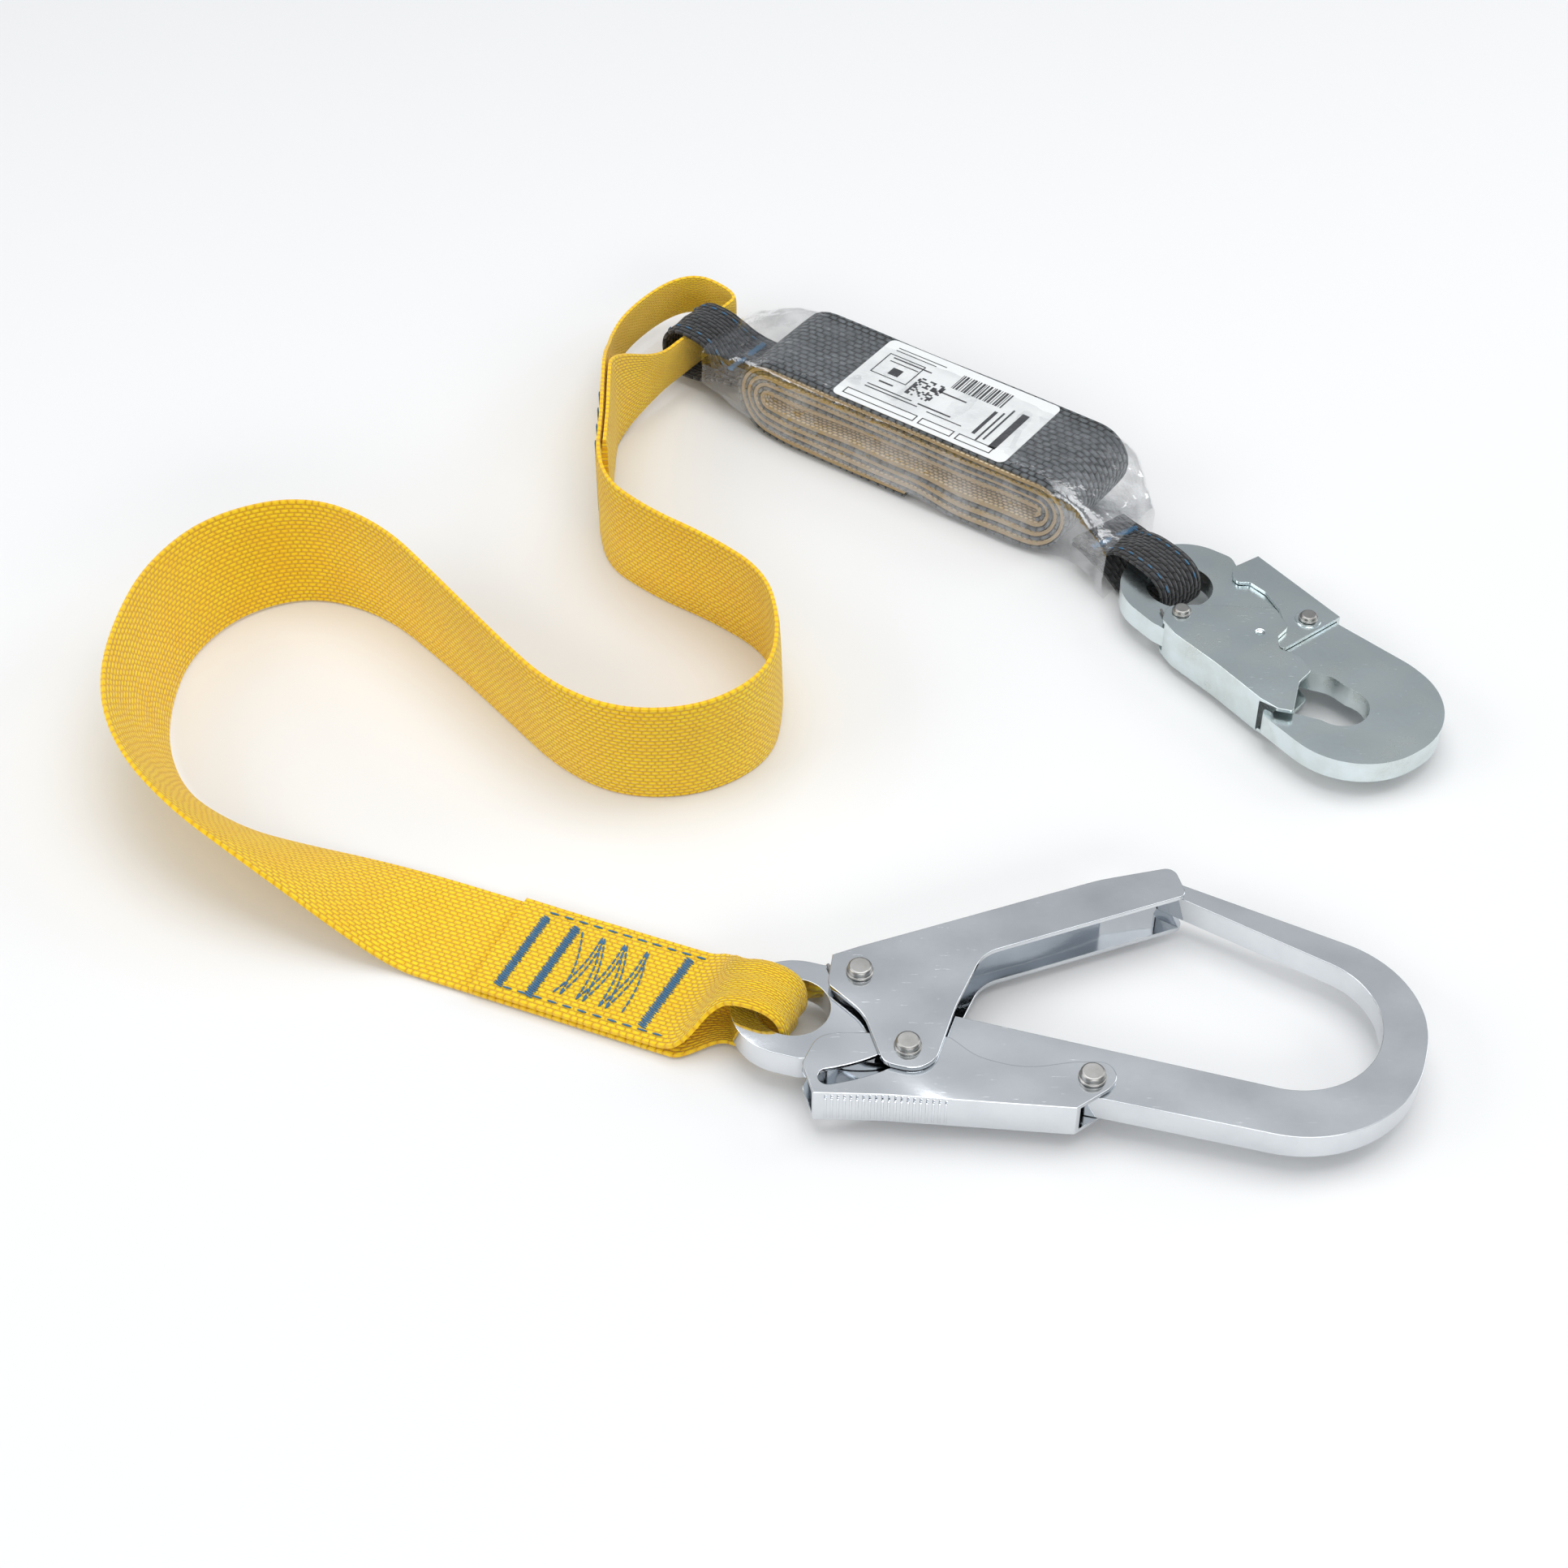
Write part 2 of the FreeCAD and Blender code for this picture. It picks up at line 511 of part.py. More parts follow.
def sleeve(top):
    half = PACK_LENGTH / 2
    wide = PACK_WIDTH + 2 * (SLEEVE_WALL + SLEEVE_CLEAR)
    stations = [(-half - 21, -2, 44, 3.5, 28.5, 6), (-half - 1, 0, wide, 0, top, 2.0),
                (half + 1.5, 0, wide, 0, top, 2.0), (half + 24, -21, 40, 1.5, 25.5, 6)]
    outer, inner = [], []
    for x, center, width, low, high, radius in stations:
        w = SLEEVE_WALL
        outer.append(rounded_section(x, center, width, low, high, radius))
        end = -0.2 if x == stations[0][0] else (0.2 if x == stations[-1][0] else 0)
        inner.append(rounded_section(x + end, center, width - 2 * w, low + w, high - w, radius - w))
    return Part.makeLoft(outer, True, True).cut(Part.makeLoft(inner, True, True))


def side_loop(axis_mid, inner_r, thick, slack, neck, root, root_mid):
    """Webbing loop seen from its side: round an axis, then both plies together to the root."""
    ply_mid = inner_r + thick / 2
    near = thick / 2 + PLY_GAP / 2
    tip = ply_mid + slack
    back = 3.0
    bend = ply_mid - 0.01
    path = [(-root, root_mid + near, 0), (-neck, root_mid + near, 8), (-back, axis_mid + ply_mid, inner_r),
            (tip, axis_mid + ply_mid, bend), (tip, axis_mid - ply_mid, bend),
            (-back, axis_mid - ply_mid, inner_r), (-neck, root_mid - near, 8), (-root, root_mid - near, 0)]
    return ribbon(path, thick)


def narrowed(solid, root, wide_end, narrow_start, tip, wide, narrow, height):
    """A loop bunched from its full width down to what its eye has room for."""
    plan = [(-root - 1, -wide / 2), (-wide_end, -wide / 2, 6), (-narrow_start, -narrow / 2, 6), (tip, -narrow / 2),
            (tip, narrow / 2), (-narrow_start, narrow / 2, 6), (-wide_end, wide / 2, 6), (-root - 1, wide / 2)]
    return solid.common(prism(plan, -5, height))


def upper_loop():
    """Black loop that the strap's upper eye goes through; X of its frame points at the strap."""
    flat = side_prism(side_loop(LINK_MID, LINK_INNER, LOOP_THICK, 0.5, 21, UPPER_ROOT, PACK_MID),
                      -PACK_WIDTH / 2, PACK_WIDTH / 2)
    return narrowed(flat, UPPER_ROOT, 22, 11, 30, 34, 26, 60)


def lower_loop():
    """Black loop that the snap hook's eye hangs in; X of its frame points along the hook."""
    inner = SMALL_ARM_R + SWING_CLEAR
    flat = side_prism(side_loop(SMALL_MID, inner, LOOP_THICK, SMALL_SLACK, 18, LOWER_ROOT, LOWER_ROOT_MID),
                      -PACK_WIDTH / 2, PACK_WIDTH / 2)
    return narrowed(flat, LOWER_ROOT, 20, 10, 40, 26, LINK_WIDTH, 60)


def arm_radius(hole, rim, thick):
    """Reach of an eye's arm from its own middle, over the width of a webbing link."""
    half = LINK_WIDTH / 2
    inner = math.sqrt(hole ** 2 - half ** 2)
    mid = (rim + inner) / 2
    return mid, math.hypot((rim - inner) / 2, thick / 2)


def tack(x, width, top, direction=1):
    """Bar tack: a dense raised line of stitches across the webbing."""
    low, high = sorted((top, top + 0.5 * direction))
    return Part.makeBox(2.2, width, high - low, V(x, -width / 2, low))


# places that follow from the eyes
BIG_ARM_AT, BIG_ARM_R = arm_radius(BIG_EYE_HOLE, BIG_EYE_RIM, BIG_THICK)
SMALL_ARM_AT, SMALL_ARM_R = arm_radius(SMALL_EYE_HOLE, SMALL_EYE_RIM, SMALL_THICK)
BIG_MID = max(BIG_GATE_OUT + HEAD_PLAY + BIG_HEAD_H, BIG_ARM_R + SWING_CLEAR + WEB_THICK) + FLOOR_GAP
SMALL_MID = max(SMALL_GATE_OUT + HEAD_PLAY + SMALL_HEAD_H, SMALL_ARM_R + SWING_CLEAR + LOOP_THICK) + FLOOR_GAP
STRAP_END_TURN = -22.2
LINK_MID = 16.0
LINK_HEIGHT = 18.0          # strap webbing folded down where it goes through the black loop
LINK_INNER = math.hypot(LINK_HEIGHT / 2, WEB_THICK / 2) + SWING_CLEAR
UPPER_ROOT = PACK_LENGTH / 2 + LINK_FROM_PACK[0] - ROLL_STRAIGHT - ROLL_OUT + PLY_PITCH / 2 - 0.3
LOWER_ROOT = 32.5
LOWER_ROOT_MID = 13.0
SMALL_SLACK = 7.0           # the black loop lies this much longer than the eye's arm needs
BIG_SLACK = 4.0
BIG_EYE_PLAN = plan_point(BIG_EYE, BIG_PLACE, BIG_TURN)
BIG_ARM_PLAN = polar(BIG_EYE_PLAN, BIG_ARM_AT, STRAP_END_TURN + 180)
SMALL_ARM_PLAN = plan_point((SMALL_EYE[0] - SMALL_ARM_AT, SMALL_EYE[1]), SMALL_PLACE, SMALL_TURN)


# ---------------------------------------------------------------- strap
SEWN_LENGTH = 96.0          # lower eye, from the overlay's edge to the hook's arm
SINGLE_TAIL = 125.0         # the lower ply goes on to here


def lower_eye():
    inner = BIG_ARM_R + SWING_CLEAR
    mid, t = inner + WEB_THICK / 2, WEB_THICK
    low, high = t / 2, 1.5 * t + PLY_GAP
    path = [(-SEWN_LENGTH, high, 0), (-24, high, 10), (-4, BIG_MID + mid, inner),
            (mid + BIG_SLACK, BIG_MID + mid, mid - 0.01), (mid + BIG_SLACK, BIG_MID - mid, mid - 0.01),
            (-8, BIG_MID - mid, 6), (-16, low, 14), (-SINGLE_TAIL, low, 0)]
    flat = side_prism(ribbon(path, t), -WEB_WIDTH / 2, WEB_WIDTH / 2)
    return narrowed(flat, SINGLE_TAIL, 24, 11, 40, WEB_WIDTH, LINK_WIDTH, 60)


def lower_stitching():
    top = 2 * WEB_THICK + PLY_GAP
    lines = []
    for x in (-SEWN_LENGTH + 9, -SEWN_LENGTH + 20, -44, -33):
        lines.append(tack(x, WEB_WIDTH * 0.78, top))
    step, reach = 9.0, WEB_WIDTH * 0.33
    for k in range(3):
        x = -SEWN_LENGTH + 26 + k * step
        for way in (-1, 1):
            band = ribbon([(x, -way * reach), (x + step * 1.4, way * reach)], 0.8)
            lines.append(prism(band, top, top + 0.3))
    solid = lines[0]
    for line in lines[1:]:
        solid = solid.fuse(line)
    return solid


def upper_eye_line():
    """Line of the upper eye on the plan: out along one ply, round, and back along the other."""
    t = WEB_THICK + PLY_GAP
    x0, y0 = STRAP_ROUTE[0]
    turn = math.radians(PACK_TURN + 90)
    along = (math.cos(turn), math.sin(turn))
    inner_x = x0 + t
    reach = (LINK_PLACE[0] - inner_x) / along[0]
    join = (inner_x, LINK_PLACE[1] - reach * along[1])
    far = (LINK_PLACE[0] + 28 * along[0], LINK_PLACE[1] + 28 * along[1])
    return [(inner_x, y0, 0), (join[0], join[1], 30), (far[0], far[1], 13), (far[0] - 24, far[1] + 20, 15),
            (x0, far[1] - 20, 25), (x0, y0, 0)]


def upper_eye():
    solid = prism(ribbon(upper_eye_line(), WEB_THICK), 0, WEB_WIDTH)
    # the webbing folds down to the height that the black loop takes
    direction = math.radians(60)
    start, stop = 138.0, 186.0
    low, high = LINK_MID - LINK_HEIGHT / 2, LINK_MID + LINK_HEIGHT / 2
    side = [(0, -0.1), (start, -0.1, 20), (stop, low, 20), (400, low), (400, high), (stop, high, 20),
            (start, WEB_WIDTH + 0.1, 20), (0, WEB_WIDTH + 0.1)]
    envelope = side_prism(side, -300, 300)
    envelope.rotate(V(0, 0, 0), V(0, 0, 1), math.degrees(direction))
    return solid.common(envelope)


def upper_stitching():
    """Bar tacks through both plies of the upper eye, on its outer face."""
    x0, y0 = STRAP_ROUTE[0]
    face = x0 - WEB_THICK / 2
    lines = [Part.makeBox(0.5, 2.2, WEB_WIDTH * 0.78, V(face - 0.5, y0 + 6 + k * 11, WEB_WIDTH * 0.11)) for k in range(4)]
    solid = lines[0]
    for line in lines[1:]:
        solid = solid.fuse(line)
    return solid


def strap_run():
    """Strap standing on its edge: straight runs joined by tangent arcs."""
    corners = [(STRAP_ROUTE[0][0], STRAP_ROUTE[0][1] - 3 * PLY_GAP, 0)]
    for a, b, c in zip(STRAP_ROUTE[:-2], STRAP_ROUTE[1:-1], STRAP_ROUTE[2:]):
        shorter = min(math.dist(a, b), math.dist(b, c))
        into = math.atan2(b[1] - a[1], b[0] - a[0])
        out = math.atan2(c[1] - b[1], c[0] - b[0])
        turn = abs(math.remainder(out - into, 2 * math.pi))
        radius = 0.45 * shorter / math.tan(turn / 2)
        print("strap corner", b, "radius", round(radius, 1))
        corners.append((b[0], b[1], radius))
    corners.append((STRAP_ROUTE[-1][0], STRAP_ROUTE[-1][1], 0))
    return prism(ribbon(corners, WEB_THICK), 0, WEB_WIDTH)


def strap_twist():
    """Strap turning from its edge on to its flat, as ruled facets between sections."""
    sections = []
    end = polar(BIG_ARM_PLAN, SINGLE_TAIL + PLY_GAP, STRAP_END_TURN + 180)
    route = TWIST_ROUTE + [(end[0], end[1], WEB_THICK / 2, 90)]
    last = len(route) - 1
    for i, (x, y, z, roll) in enumerate(route):
        before = V(*route[max(i - 1, 0)][:3])
        after = V(*route[min(i + 1, last)][:3])
        along = (after - before)
        along.z = 0
        along.normalize()
        if i == 0:
            a, b = STRAP_ROUTE[-2], STRAP_ROUTE[-1]
            along = V(b[0] - a[0], b[1] - a[1], 0).normalize()
        if i == last:
            along = V(*polar((0, 0), 1, STRAP_END_TURN), 0)
        side = V(along.y, -along.x, 0)
        a = math.radians(roll)
        across = V(0, 0, 1) * math.cos(a) + side * math.sin(a)
        normal = along.cross(across)
        mid = V(x, y, max(z, WEB_WIDTH / 2 * math.cos(a) + WEB_THICK / 2 * math.sin(a)))
        w, t = across * (WEB_WIDTH / 2), normal * (WEB_THICK / 2)
        sections.append(Part.makePolygon([mid + w + t, mid - w + t, mid - w - t, mid + w - t, mid + w + t]))
    return Part.makeLoft(sections, True, True)


# ---------------------------------------------------------------- placing every piece
def big(shape):
    return place(shape, BIG_PLACE, BIG_TURN, BIG_MID)


def small(shape):
    return place(shape, SMALL_PLACE, SMALL_TURN, SMALL_MID)


def pack(shape, lift=0.0):
    return place(shape, PACK_PLACE, PACK_TURN, lift)


def build():
    nodes = {}
    a, b = BIG_GATE_PIVOT, BIG_PIN
    nodes["large_hook_body"] = big(big_body())
    nodes["large_hook_gate"] = big(big_gate())
    nodes["large_hook_lock_lever"] = big(big_lever())
    gate_grip, lever_grip = BIG_GATE_OUT + HEAD_PLAY, BIG_LEVER_OUT + HEAD_PLAY
    nodes["large_hook_gate_rivet"] = big(rivet(a, BIG_RIVET_R, BIG_HEAD_R, BIG_HEAD_H, gate_grip))
    nodes["large_hook_lock_pin"] = big(rivet(b, BIG_RIVET_R, BIG_HEAD_R, BIG_HEAD_H, BIG_GATE_OUT))
    nodes["large_hook_lever_rivet"] = big(rivet((0, 0), BIG_RIVET_R, BIG_HEAD_R, BIG_HEAD_H, lever_grip))
    nodes["large_hook_gate_spring"] = big(torsion_spring(a, 8.2, 1.2, BIG_HALF + 0.9, 215, 9))
    nodes["large_hook_lever_spring"] = big(big_lever_spring())
    p2 = SMALL_LOCK_PIVOT
    nodes["small_hook_body"] = small(small_body())
    nodes["small_hook_gate"] = small(small_gate())
    nodes["small_hook_lock_lever"] = small(small_lock())
    gate_grip = SMALL_GATE_OUT + HEAD_PLAY
    lock_grip = SMALL_LOCK_OUT + 0.5 + HEAD_PLAY
    nodes["small_hook_gate_rivet"] = small(rivet((0, 0), SMALL_RIVET_R, SMALL_HEAD_R, SMALL_HEAD_H, gate_grip))
    nodes["small_hook_lock_rivet"] = small(rivet(p2, SMALL_RIVET_R, SMALL_HEAD_R, SMALL_HEAD_H, lock_grip))
    nodes["small_hook_gate_spring"] = small(torsion_spring((0, 0), 6.1, 1.0, SMALL_HALF + 0.9, 245, 6))
    nodes["small_hook_lock_spring"] = small(small_lock_spring())
    cream, grey = pack_rolls()
    top = grey.BoundBox.ZMax
    nodes["absorber_tear_webbing"] = pack(cream)
    nodes["absorber_inner_webbing"] = pack(grey)
    nodes["absorber_sleeve"] = pack(sleeve(top + SLEEVE_CLEAR + SLEEVE_WALL))
    length, width, thick = LABEL_SIZE
    label = [(-length / 2, -width / 2, 3), (length / 2, -width / 2, 3), (length / 2, width / 2, 3),
             (-length / 2, width / 2, 3)]
    label = prism(label, top, top + thick)
    label.translate(V(LABEL_AT, 0, 0))
    nodes["absorber_label"] = pack(label)
    nodes["absorber_upper_loop"] = place(upper_loop(), LINK_PLACE, PACK_TURN + 180)
    nodes["absorber_lower_loop"] = place(lower_loop(), SMALL_ARM_PLAN, SMALL_TURN)
    high = PACK_MID + LOOP_THICK + PLY_GAP / 2
    nodes["absorber_upper_bar_tack"] = place(tack(-26, 26, high), LINK_PLACE, PACK_TURN + 180)
    high = LOWER_ROOT_MID + LOOP_THICK + PLY_GAP / 2
    nodes["absorber_lower_bar_tack"] = place(tack(-24, 26, high), SMALL_ARM_PLAN, SMALL_TURN)
    nodes["strap_lower_eye"] = place(lower_eye(), BIG_ARM_PLAN, STRAP_END_TURN)
    nodes["strap_lower_stitching"] = place(lower_stitching(), BIG_ARM_PLAN, STRAP_END_TURN)
    nodes["strap_upper_eye"] = place(upper_eye(), (0, 0), 0)
    nodes["strap_upper_stitching"] = place(upper_stitching(), (0, 0), 0)
    nodes["strap_run"] = place(strap_run(), (0, 0), 0)
    nodes["strap_twist"] = place(strap_twist(), (0, 0), 0)
    return nodes


os.makedirs("parts", exist_ok=True)
whole = FreeCAD.BoundBox()
for name, shape in build().items():
    shape.exportStep("parts/" + name + ".step")
    box = shape.BoundBox
    print(name, "valid" if shape.isValid() else "BROKEN", len(shape.Solids), "solids", round(shape.Volume),
          [round(c, 1) for c in (box.XMin, box.YMin, box.ZMin, box.XMax, box.YMax, box.ZMax)])
    if name not in ("strap_run", "strap_twist"):
        whole.add(box)
print("middle of the box without the free strap", round(whole.Center.x, 3), round(whole.Center.y, 3))
for name, spot in (("large hook arm", BIG_ARM_PLAN), ("small hook arm", SMALL_ARM_PLAN), ("strap link", LINK_PLACE),
                   ("large gate rivet", plan_point(BIG_GATE_PIVOT, BIG_PLACE, BIG_TURN)),
                   ("large lever rivet", BIG_PLACE), ("small gate rivet", SMALL_PLACE),
                   ("small lock rivet", plan_point(SMALL_LOCK_PIVOT, SMALL_PLACE, SMALL_TURN)),
                   ("large throat", plan_point(BIG_THROAT, BIG_PLACE, BIG_TURN)),
                   ("small throat", plan_point(SMALL_THROAT, SMALL_PLACE, SMALL_TURN))):
    print(name, round(spot[0] - ORIGIN[0], 3), round(spot[1] - ORIGIN[1], 3))
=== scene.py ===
import bmesh
import bpy
import math
from mathutils import Matrix, Vector, noise


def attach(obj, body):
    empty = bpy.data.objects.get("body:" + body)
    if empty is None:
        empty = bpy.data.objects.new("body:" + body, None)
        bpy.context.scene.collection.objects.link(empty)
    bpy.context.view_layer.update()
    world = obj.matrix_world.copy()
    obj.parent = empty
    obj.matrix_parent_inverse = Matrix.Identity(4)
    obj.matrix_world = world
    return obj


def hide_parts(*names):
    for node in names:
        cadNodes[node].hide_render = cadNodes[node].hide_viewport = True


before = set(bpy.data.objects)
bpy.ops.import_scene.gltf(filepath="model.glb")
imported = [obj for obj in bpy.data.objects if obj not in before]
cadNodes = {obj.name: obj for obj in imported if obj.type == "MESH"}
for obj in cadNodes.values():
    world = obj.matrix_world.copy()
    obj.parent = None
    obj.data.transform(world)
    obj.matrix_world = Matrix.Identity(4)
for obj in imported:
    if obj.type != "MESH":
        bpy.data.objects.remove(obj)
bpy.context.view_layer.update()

scene = bpy.context.scene
mm = 0.001
up = Vector((0, 0, 1))
print("frame loaded:", len(cadNodes), "nodes")


# Small helpers shared by every piece

def heading(degrees):
    a = math.radians(degrees)
    return Vector((math.cos(a), math.sin(a), 0))


def standAt(x, y, turn, z=0.0):
    # a piece's own frame, in millimetres, set down on the plan
    return Matrix.Translation(Vector((x, y, z)) * mm) @ Matrix.Rotation(math.radians(turn), 4, "Z")


def blendStep(low, high, value):
    t = min(1.0, max(0.0, (value - low) / (high - low)))
    return t * t * (3 - 2 * t)


def addPiece(name, bm, material, body, sharp=35, slot=None, stands=()):
    mesh = bpy.data.meshes.new(name)
    bm.to_mesh(mesh)
    bm.free()
    mesh.polygons.foreach_set("use_smooth", [True] * len(mesh.polygons))
    mesh.set_sharp_from_angle(angle=math.radians(sharp))
    piece = bpy.data.objects.new(name, mesh)
    scene.collection.objects.link(piece)
    mesh.materials.append(material)
    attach(piece, body)
    if stands:
        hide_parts(*stands)
    return piece


def splinePoints(controls, steps=10):
    # points along one smooth NURBS line, in the unit of its controls
    curve = bpy.data.curves.new("guideLine", "CURVE")
    curve.dimensions = "3D"
    line = curve.splines.new("NURBS")
    line.points.add(len(controls) - 1)
    for point, spot in zip(line.points, controls):
        point.co = (spot[0], spot[1], spot[2], 1)
    line.order_u = 3
    line.use_endpoint_u = True
    curve.resolution_u = steps
    guide = bpy.data.objects.new("guideLine", curve)
    mesh = bpy.data.meshes.new_from_object(guide)
    spots = [v.co.copy() for v in mesh.vertices]
    bpy.data.meshes.remove(mesh)
    bpy.data.objects.remove(guide)
    bpy.data.curves.remove(curve)
    return spots


def evenly(spots, spacing):
    # the same line with points about one spacing apart, and the extra values carried along
    kept = [0.0]
    for a, b in zip(spots[:-1], spots[1:]):
        kept.append(kept[-1] + (Vector(b[:3]) - Vector(a[:3])).length)
    count = max(2, round(kept[-1] / spacing))
    result, i = [], 0
    for k in range(count + 1):
        s = kept[-1] * k / count
        while i < len(kept) - 2 and kept[i + 1] < s:
            i += 1
        t = (s - kept[i]) / max(1e-9, kept[i + 1] - kept[i])
        a, b = spots[i], spots[i + 1]
        result.append((s, [p + (q - p) * t for p, q in zip(a, b)]))
    return result


def sweepWeb(name, stations, material, body, slot, stands=(), settle=None, columns=11, edge=0.45, sharp=50):
    # webbing drawn along stations: (along, centre, across, normal, width, thickness), all in metres
    bm = bmesh.new()
    alongLayer = bm.verts.layers.float.new("along")
    acrossLayer = bm.verts.layers.float.new("across")
    ring = []
    for side in (1, -1):
        for k in range(columns):
            u = side * (2 * k / (columns - 1) - 1)
            v = bm.verts.new((u / 2, side * 0.5 * (1 - edge * abs(u) ** 10), 0))
            v[acrossLayer] = u
            ring.append(v)
    edges = [bm.edges.new((ring[i - 1], ring[i])) for i in range(len(ring))]
    bmesh.ops.contextual_create(bm, geom=edges)
    last = None
    for along, centre, across, normal, width, thick in stations:
        axes = Matrix((across * width, normal * thick, across.cross(normal))).transposed().to_4x4()
        matrix = Matrix.Translation(centre) @ axes
        if last is None:
            bmesh.ops.transform(bm, matrix=matrix, verts=ring)
        else:
            made = bmesh.ops.extrude_edge_only(bm, edges=edges)["geom"]
            ring = [g for g in made if isinstance(g, bmesh.types.BMVert)]
            edges = [g for g in made if isinstance(g, bmesh.types.BMEdge)]
            bmesh.ops.transform(bm, matrix=matrix @ last.inverted(), verts=ring)
        for v in ring:
            v[alongLayer] = along
        last = matrix
    bmesh.ops.contextual_create(bm, geom=edges)
    if settle:
        for v in bm.verts:
            v.co = settle(v.co, v[alongLayer], v[acrossLayer])
    bmesh.ops.recalc_face_normals(bm, faces=bm.faces)
    uv = bm.loops.layers.uv.new("webbing")
    half = stations[0][4] / 2
    for face in bm.faces:
        for loop in face.loops:
            loop[uv].uv = (loop.vert[alongLayer], loop.vert[acrossLayer] * half)
    return addPiece(name, bm, material, body, sharp=sharp, slot=slot, stands=stands)


def sideStations(controls, place, widthAt, thick, steps=10, spacing=1.6, side=Vector((0, 1, 0))):
    # stations along a line drawn in a piece's own X and Z, in millimetres
    spots = splinePoints([(x, 0, z) for x, z in controls], steps)
    even = evenly([(p.x, p.y, p.z) for p in spots], spacing)
    turn = place.to_3x3()
    result = []
    for k, (s, p) in enumerate(even):
        a = Vector(even[max(k - 1, 0)][1])
        b = Vector(even[min(k + 1, len(even) - 1)][1])
        tangent = (b - a).normalized()
        centre = place @ (Vector(p) * mm)
        across = turn @ side
        normal = (turn @ tangent).cross(across)
        result.append((s * mm, centre, across, normal, widthAt(p[0], p[2], s) * mm, thick * mm))
    return result


# Shader node helpers and the effects that several finishes share

def link(tree, a, b):
    tree.links.new(a, b)


def feed(tree, socket, value):
    if isinstance(value, bpy.types.NodeSocket):
        link(tree, value, socket)
    elif value is not None:
        socket.default_value = value


def calc(tree, operation, a, b=None, c=None, clamp=False):
    node = tree.nodes.new("ShaderNodeMath")
    node.operation = operation
    node.use_clamp = clamp
    for socket, value in zip(node.inputs, (a, b, c)):
        feed(tree, socket, value)
    return node.outputs[0]


def blendColor(tree, factor, a, b):
    node = tree.nodes.new("ShaderNodeMix")
    node.data_type = "RGBA"
    feed(tree, node.inputs["Factor"], factor)
    feed(tree, node.inputs["A"], a)
    feed(tree, node.inputs["B"], b)
    return node.outputs["Result"]


def grainOf(tree, vector, size, detail=2.0, rough=0.5):
    node = tree.nodes.new("ShaderNodeTexNoise")
    feed(tree, node.inputs["Vector"], vector)
    node.inputs["Scale"].default_value = 1 / (size * mm)
    node.inputs["Detail"].default_value = detail
    node.inputs["Roughness"].default_value = rough
    return node.outputs["Fac"]


def spread(tree, value, low, high, outLow=0.0, outHigh=1.0):
    node = tree.nodes.new("ShaderNodeMapRange")
    feed(tree, node.inputs["Value"], value)
    for name, number in (("From Min", low), ("From Max", high), ("To Min", outLow), ("To Max", outHigh)):
        feed(tree, node.inputs[name], number)
    return node.outputs["Result"]


def newGroup(name, inputs, outputs):
    group = bpy.data.node_groups.new(name, "ShaderNodeTree")
    for label, kind, value in inputs:
        socket = group.interface.new_socket(label, in_out="INPUT", socket_type=kind)
        if value is not None:
            socket.default_value = value
    for label, kind in outputs:
        group.interface.new_socket(label, in_out="OUTPUT", socket_type=kind)
    return group, group.nodes.new("NodeGroupInput").outputs, group.nodes.new("NodeGroupOutput").inputs


def weaveGroup():
    # rows of rounded beads, each row shifted against the last, with loose fibres between, and a painted shade
    # mask for the recesses between the beads
    group, given, out = newGroup("wovenBeads", [
        ("Vector", "NodeSocketVector", None), ("Bead Length", "NodeSocketFloat", 2.4),
        ("Bead Width", "NodeSocketFloat", 1.5),
        ("Row Shift", "NodeSocketFloat", 0.5), ("Fibre", "NodeSocketFloat", 0.2)],
        [("Height", "NodeSocketFloat"), ("Hollow Shade", "NodeSocketFloat"), ("Tint", "NodeSocketFloat")])
    split = group.nodes.new("ShaderNodeSeparateXYZ")
    link(group, given["Vector"], split.inputs[0])
    wobble = calc(group, "MULTIPLY", calc(group, "SUBTRACT", grainOf(group, given["Vector"], 9), 0.5), 1.2)
    along = calc(group, "DIVIDE", calc(group, "MULTIPLY", split.outputs["X"], 1000), given["Bead Length"])
    across = calc(group, "DIVIDE", calc(group, "MULTIPLY", split.outputs["Y"], 1000), given["Bead Width"])
    along = calc(group, "ADD", along, wobble)
    row = calc(group, "FLOOR", across)
    along = calc(group, "ADD", along, calc(group, "MULTIPLY", row, given["Row Shift"]))
    bead = calc(group, "MULTIPLY", calc(group, "SINE",
                                        calc(group, "MULTIPLY", calc(group, "FRACT", along), math.pi)),
                calc(group, "SINE", calc(group, "MULTIPLY", calc(group, "FRACT", across), math.pi)))
    bead = calc(group, "POWER", bead, 0.55)
    fibre = calc(group, "MULTIPLY", calc(group, "SUBTRACT", grainOf(group, given["Vector"], 0.35, 3), 0.5),
                 given["Fibre"])
    link(group, calc(group, "ADD", bead, fibre), out["Height"])
    # painted shade: this mask is strongest where the beads are lowest, in the recesses between them
    link(group, spread(group, bead, 0.25, 0.85, 1.0, 0.0), out["Hollow Shade"])
    link(group, grainOf(group, given["Vector"], 14, 3, 0.6), out["Tint"])
    return group


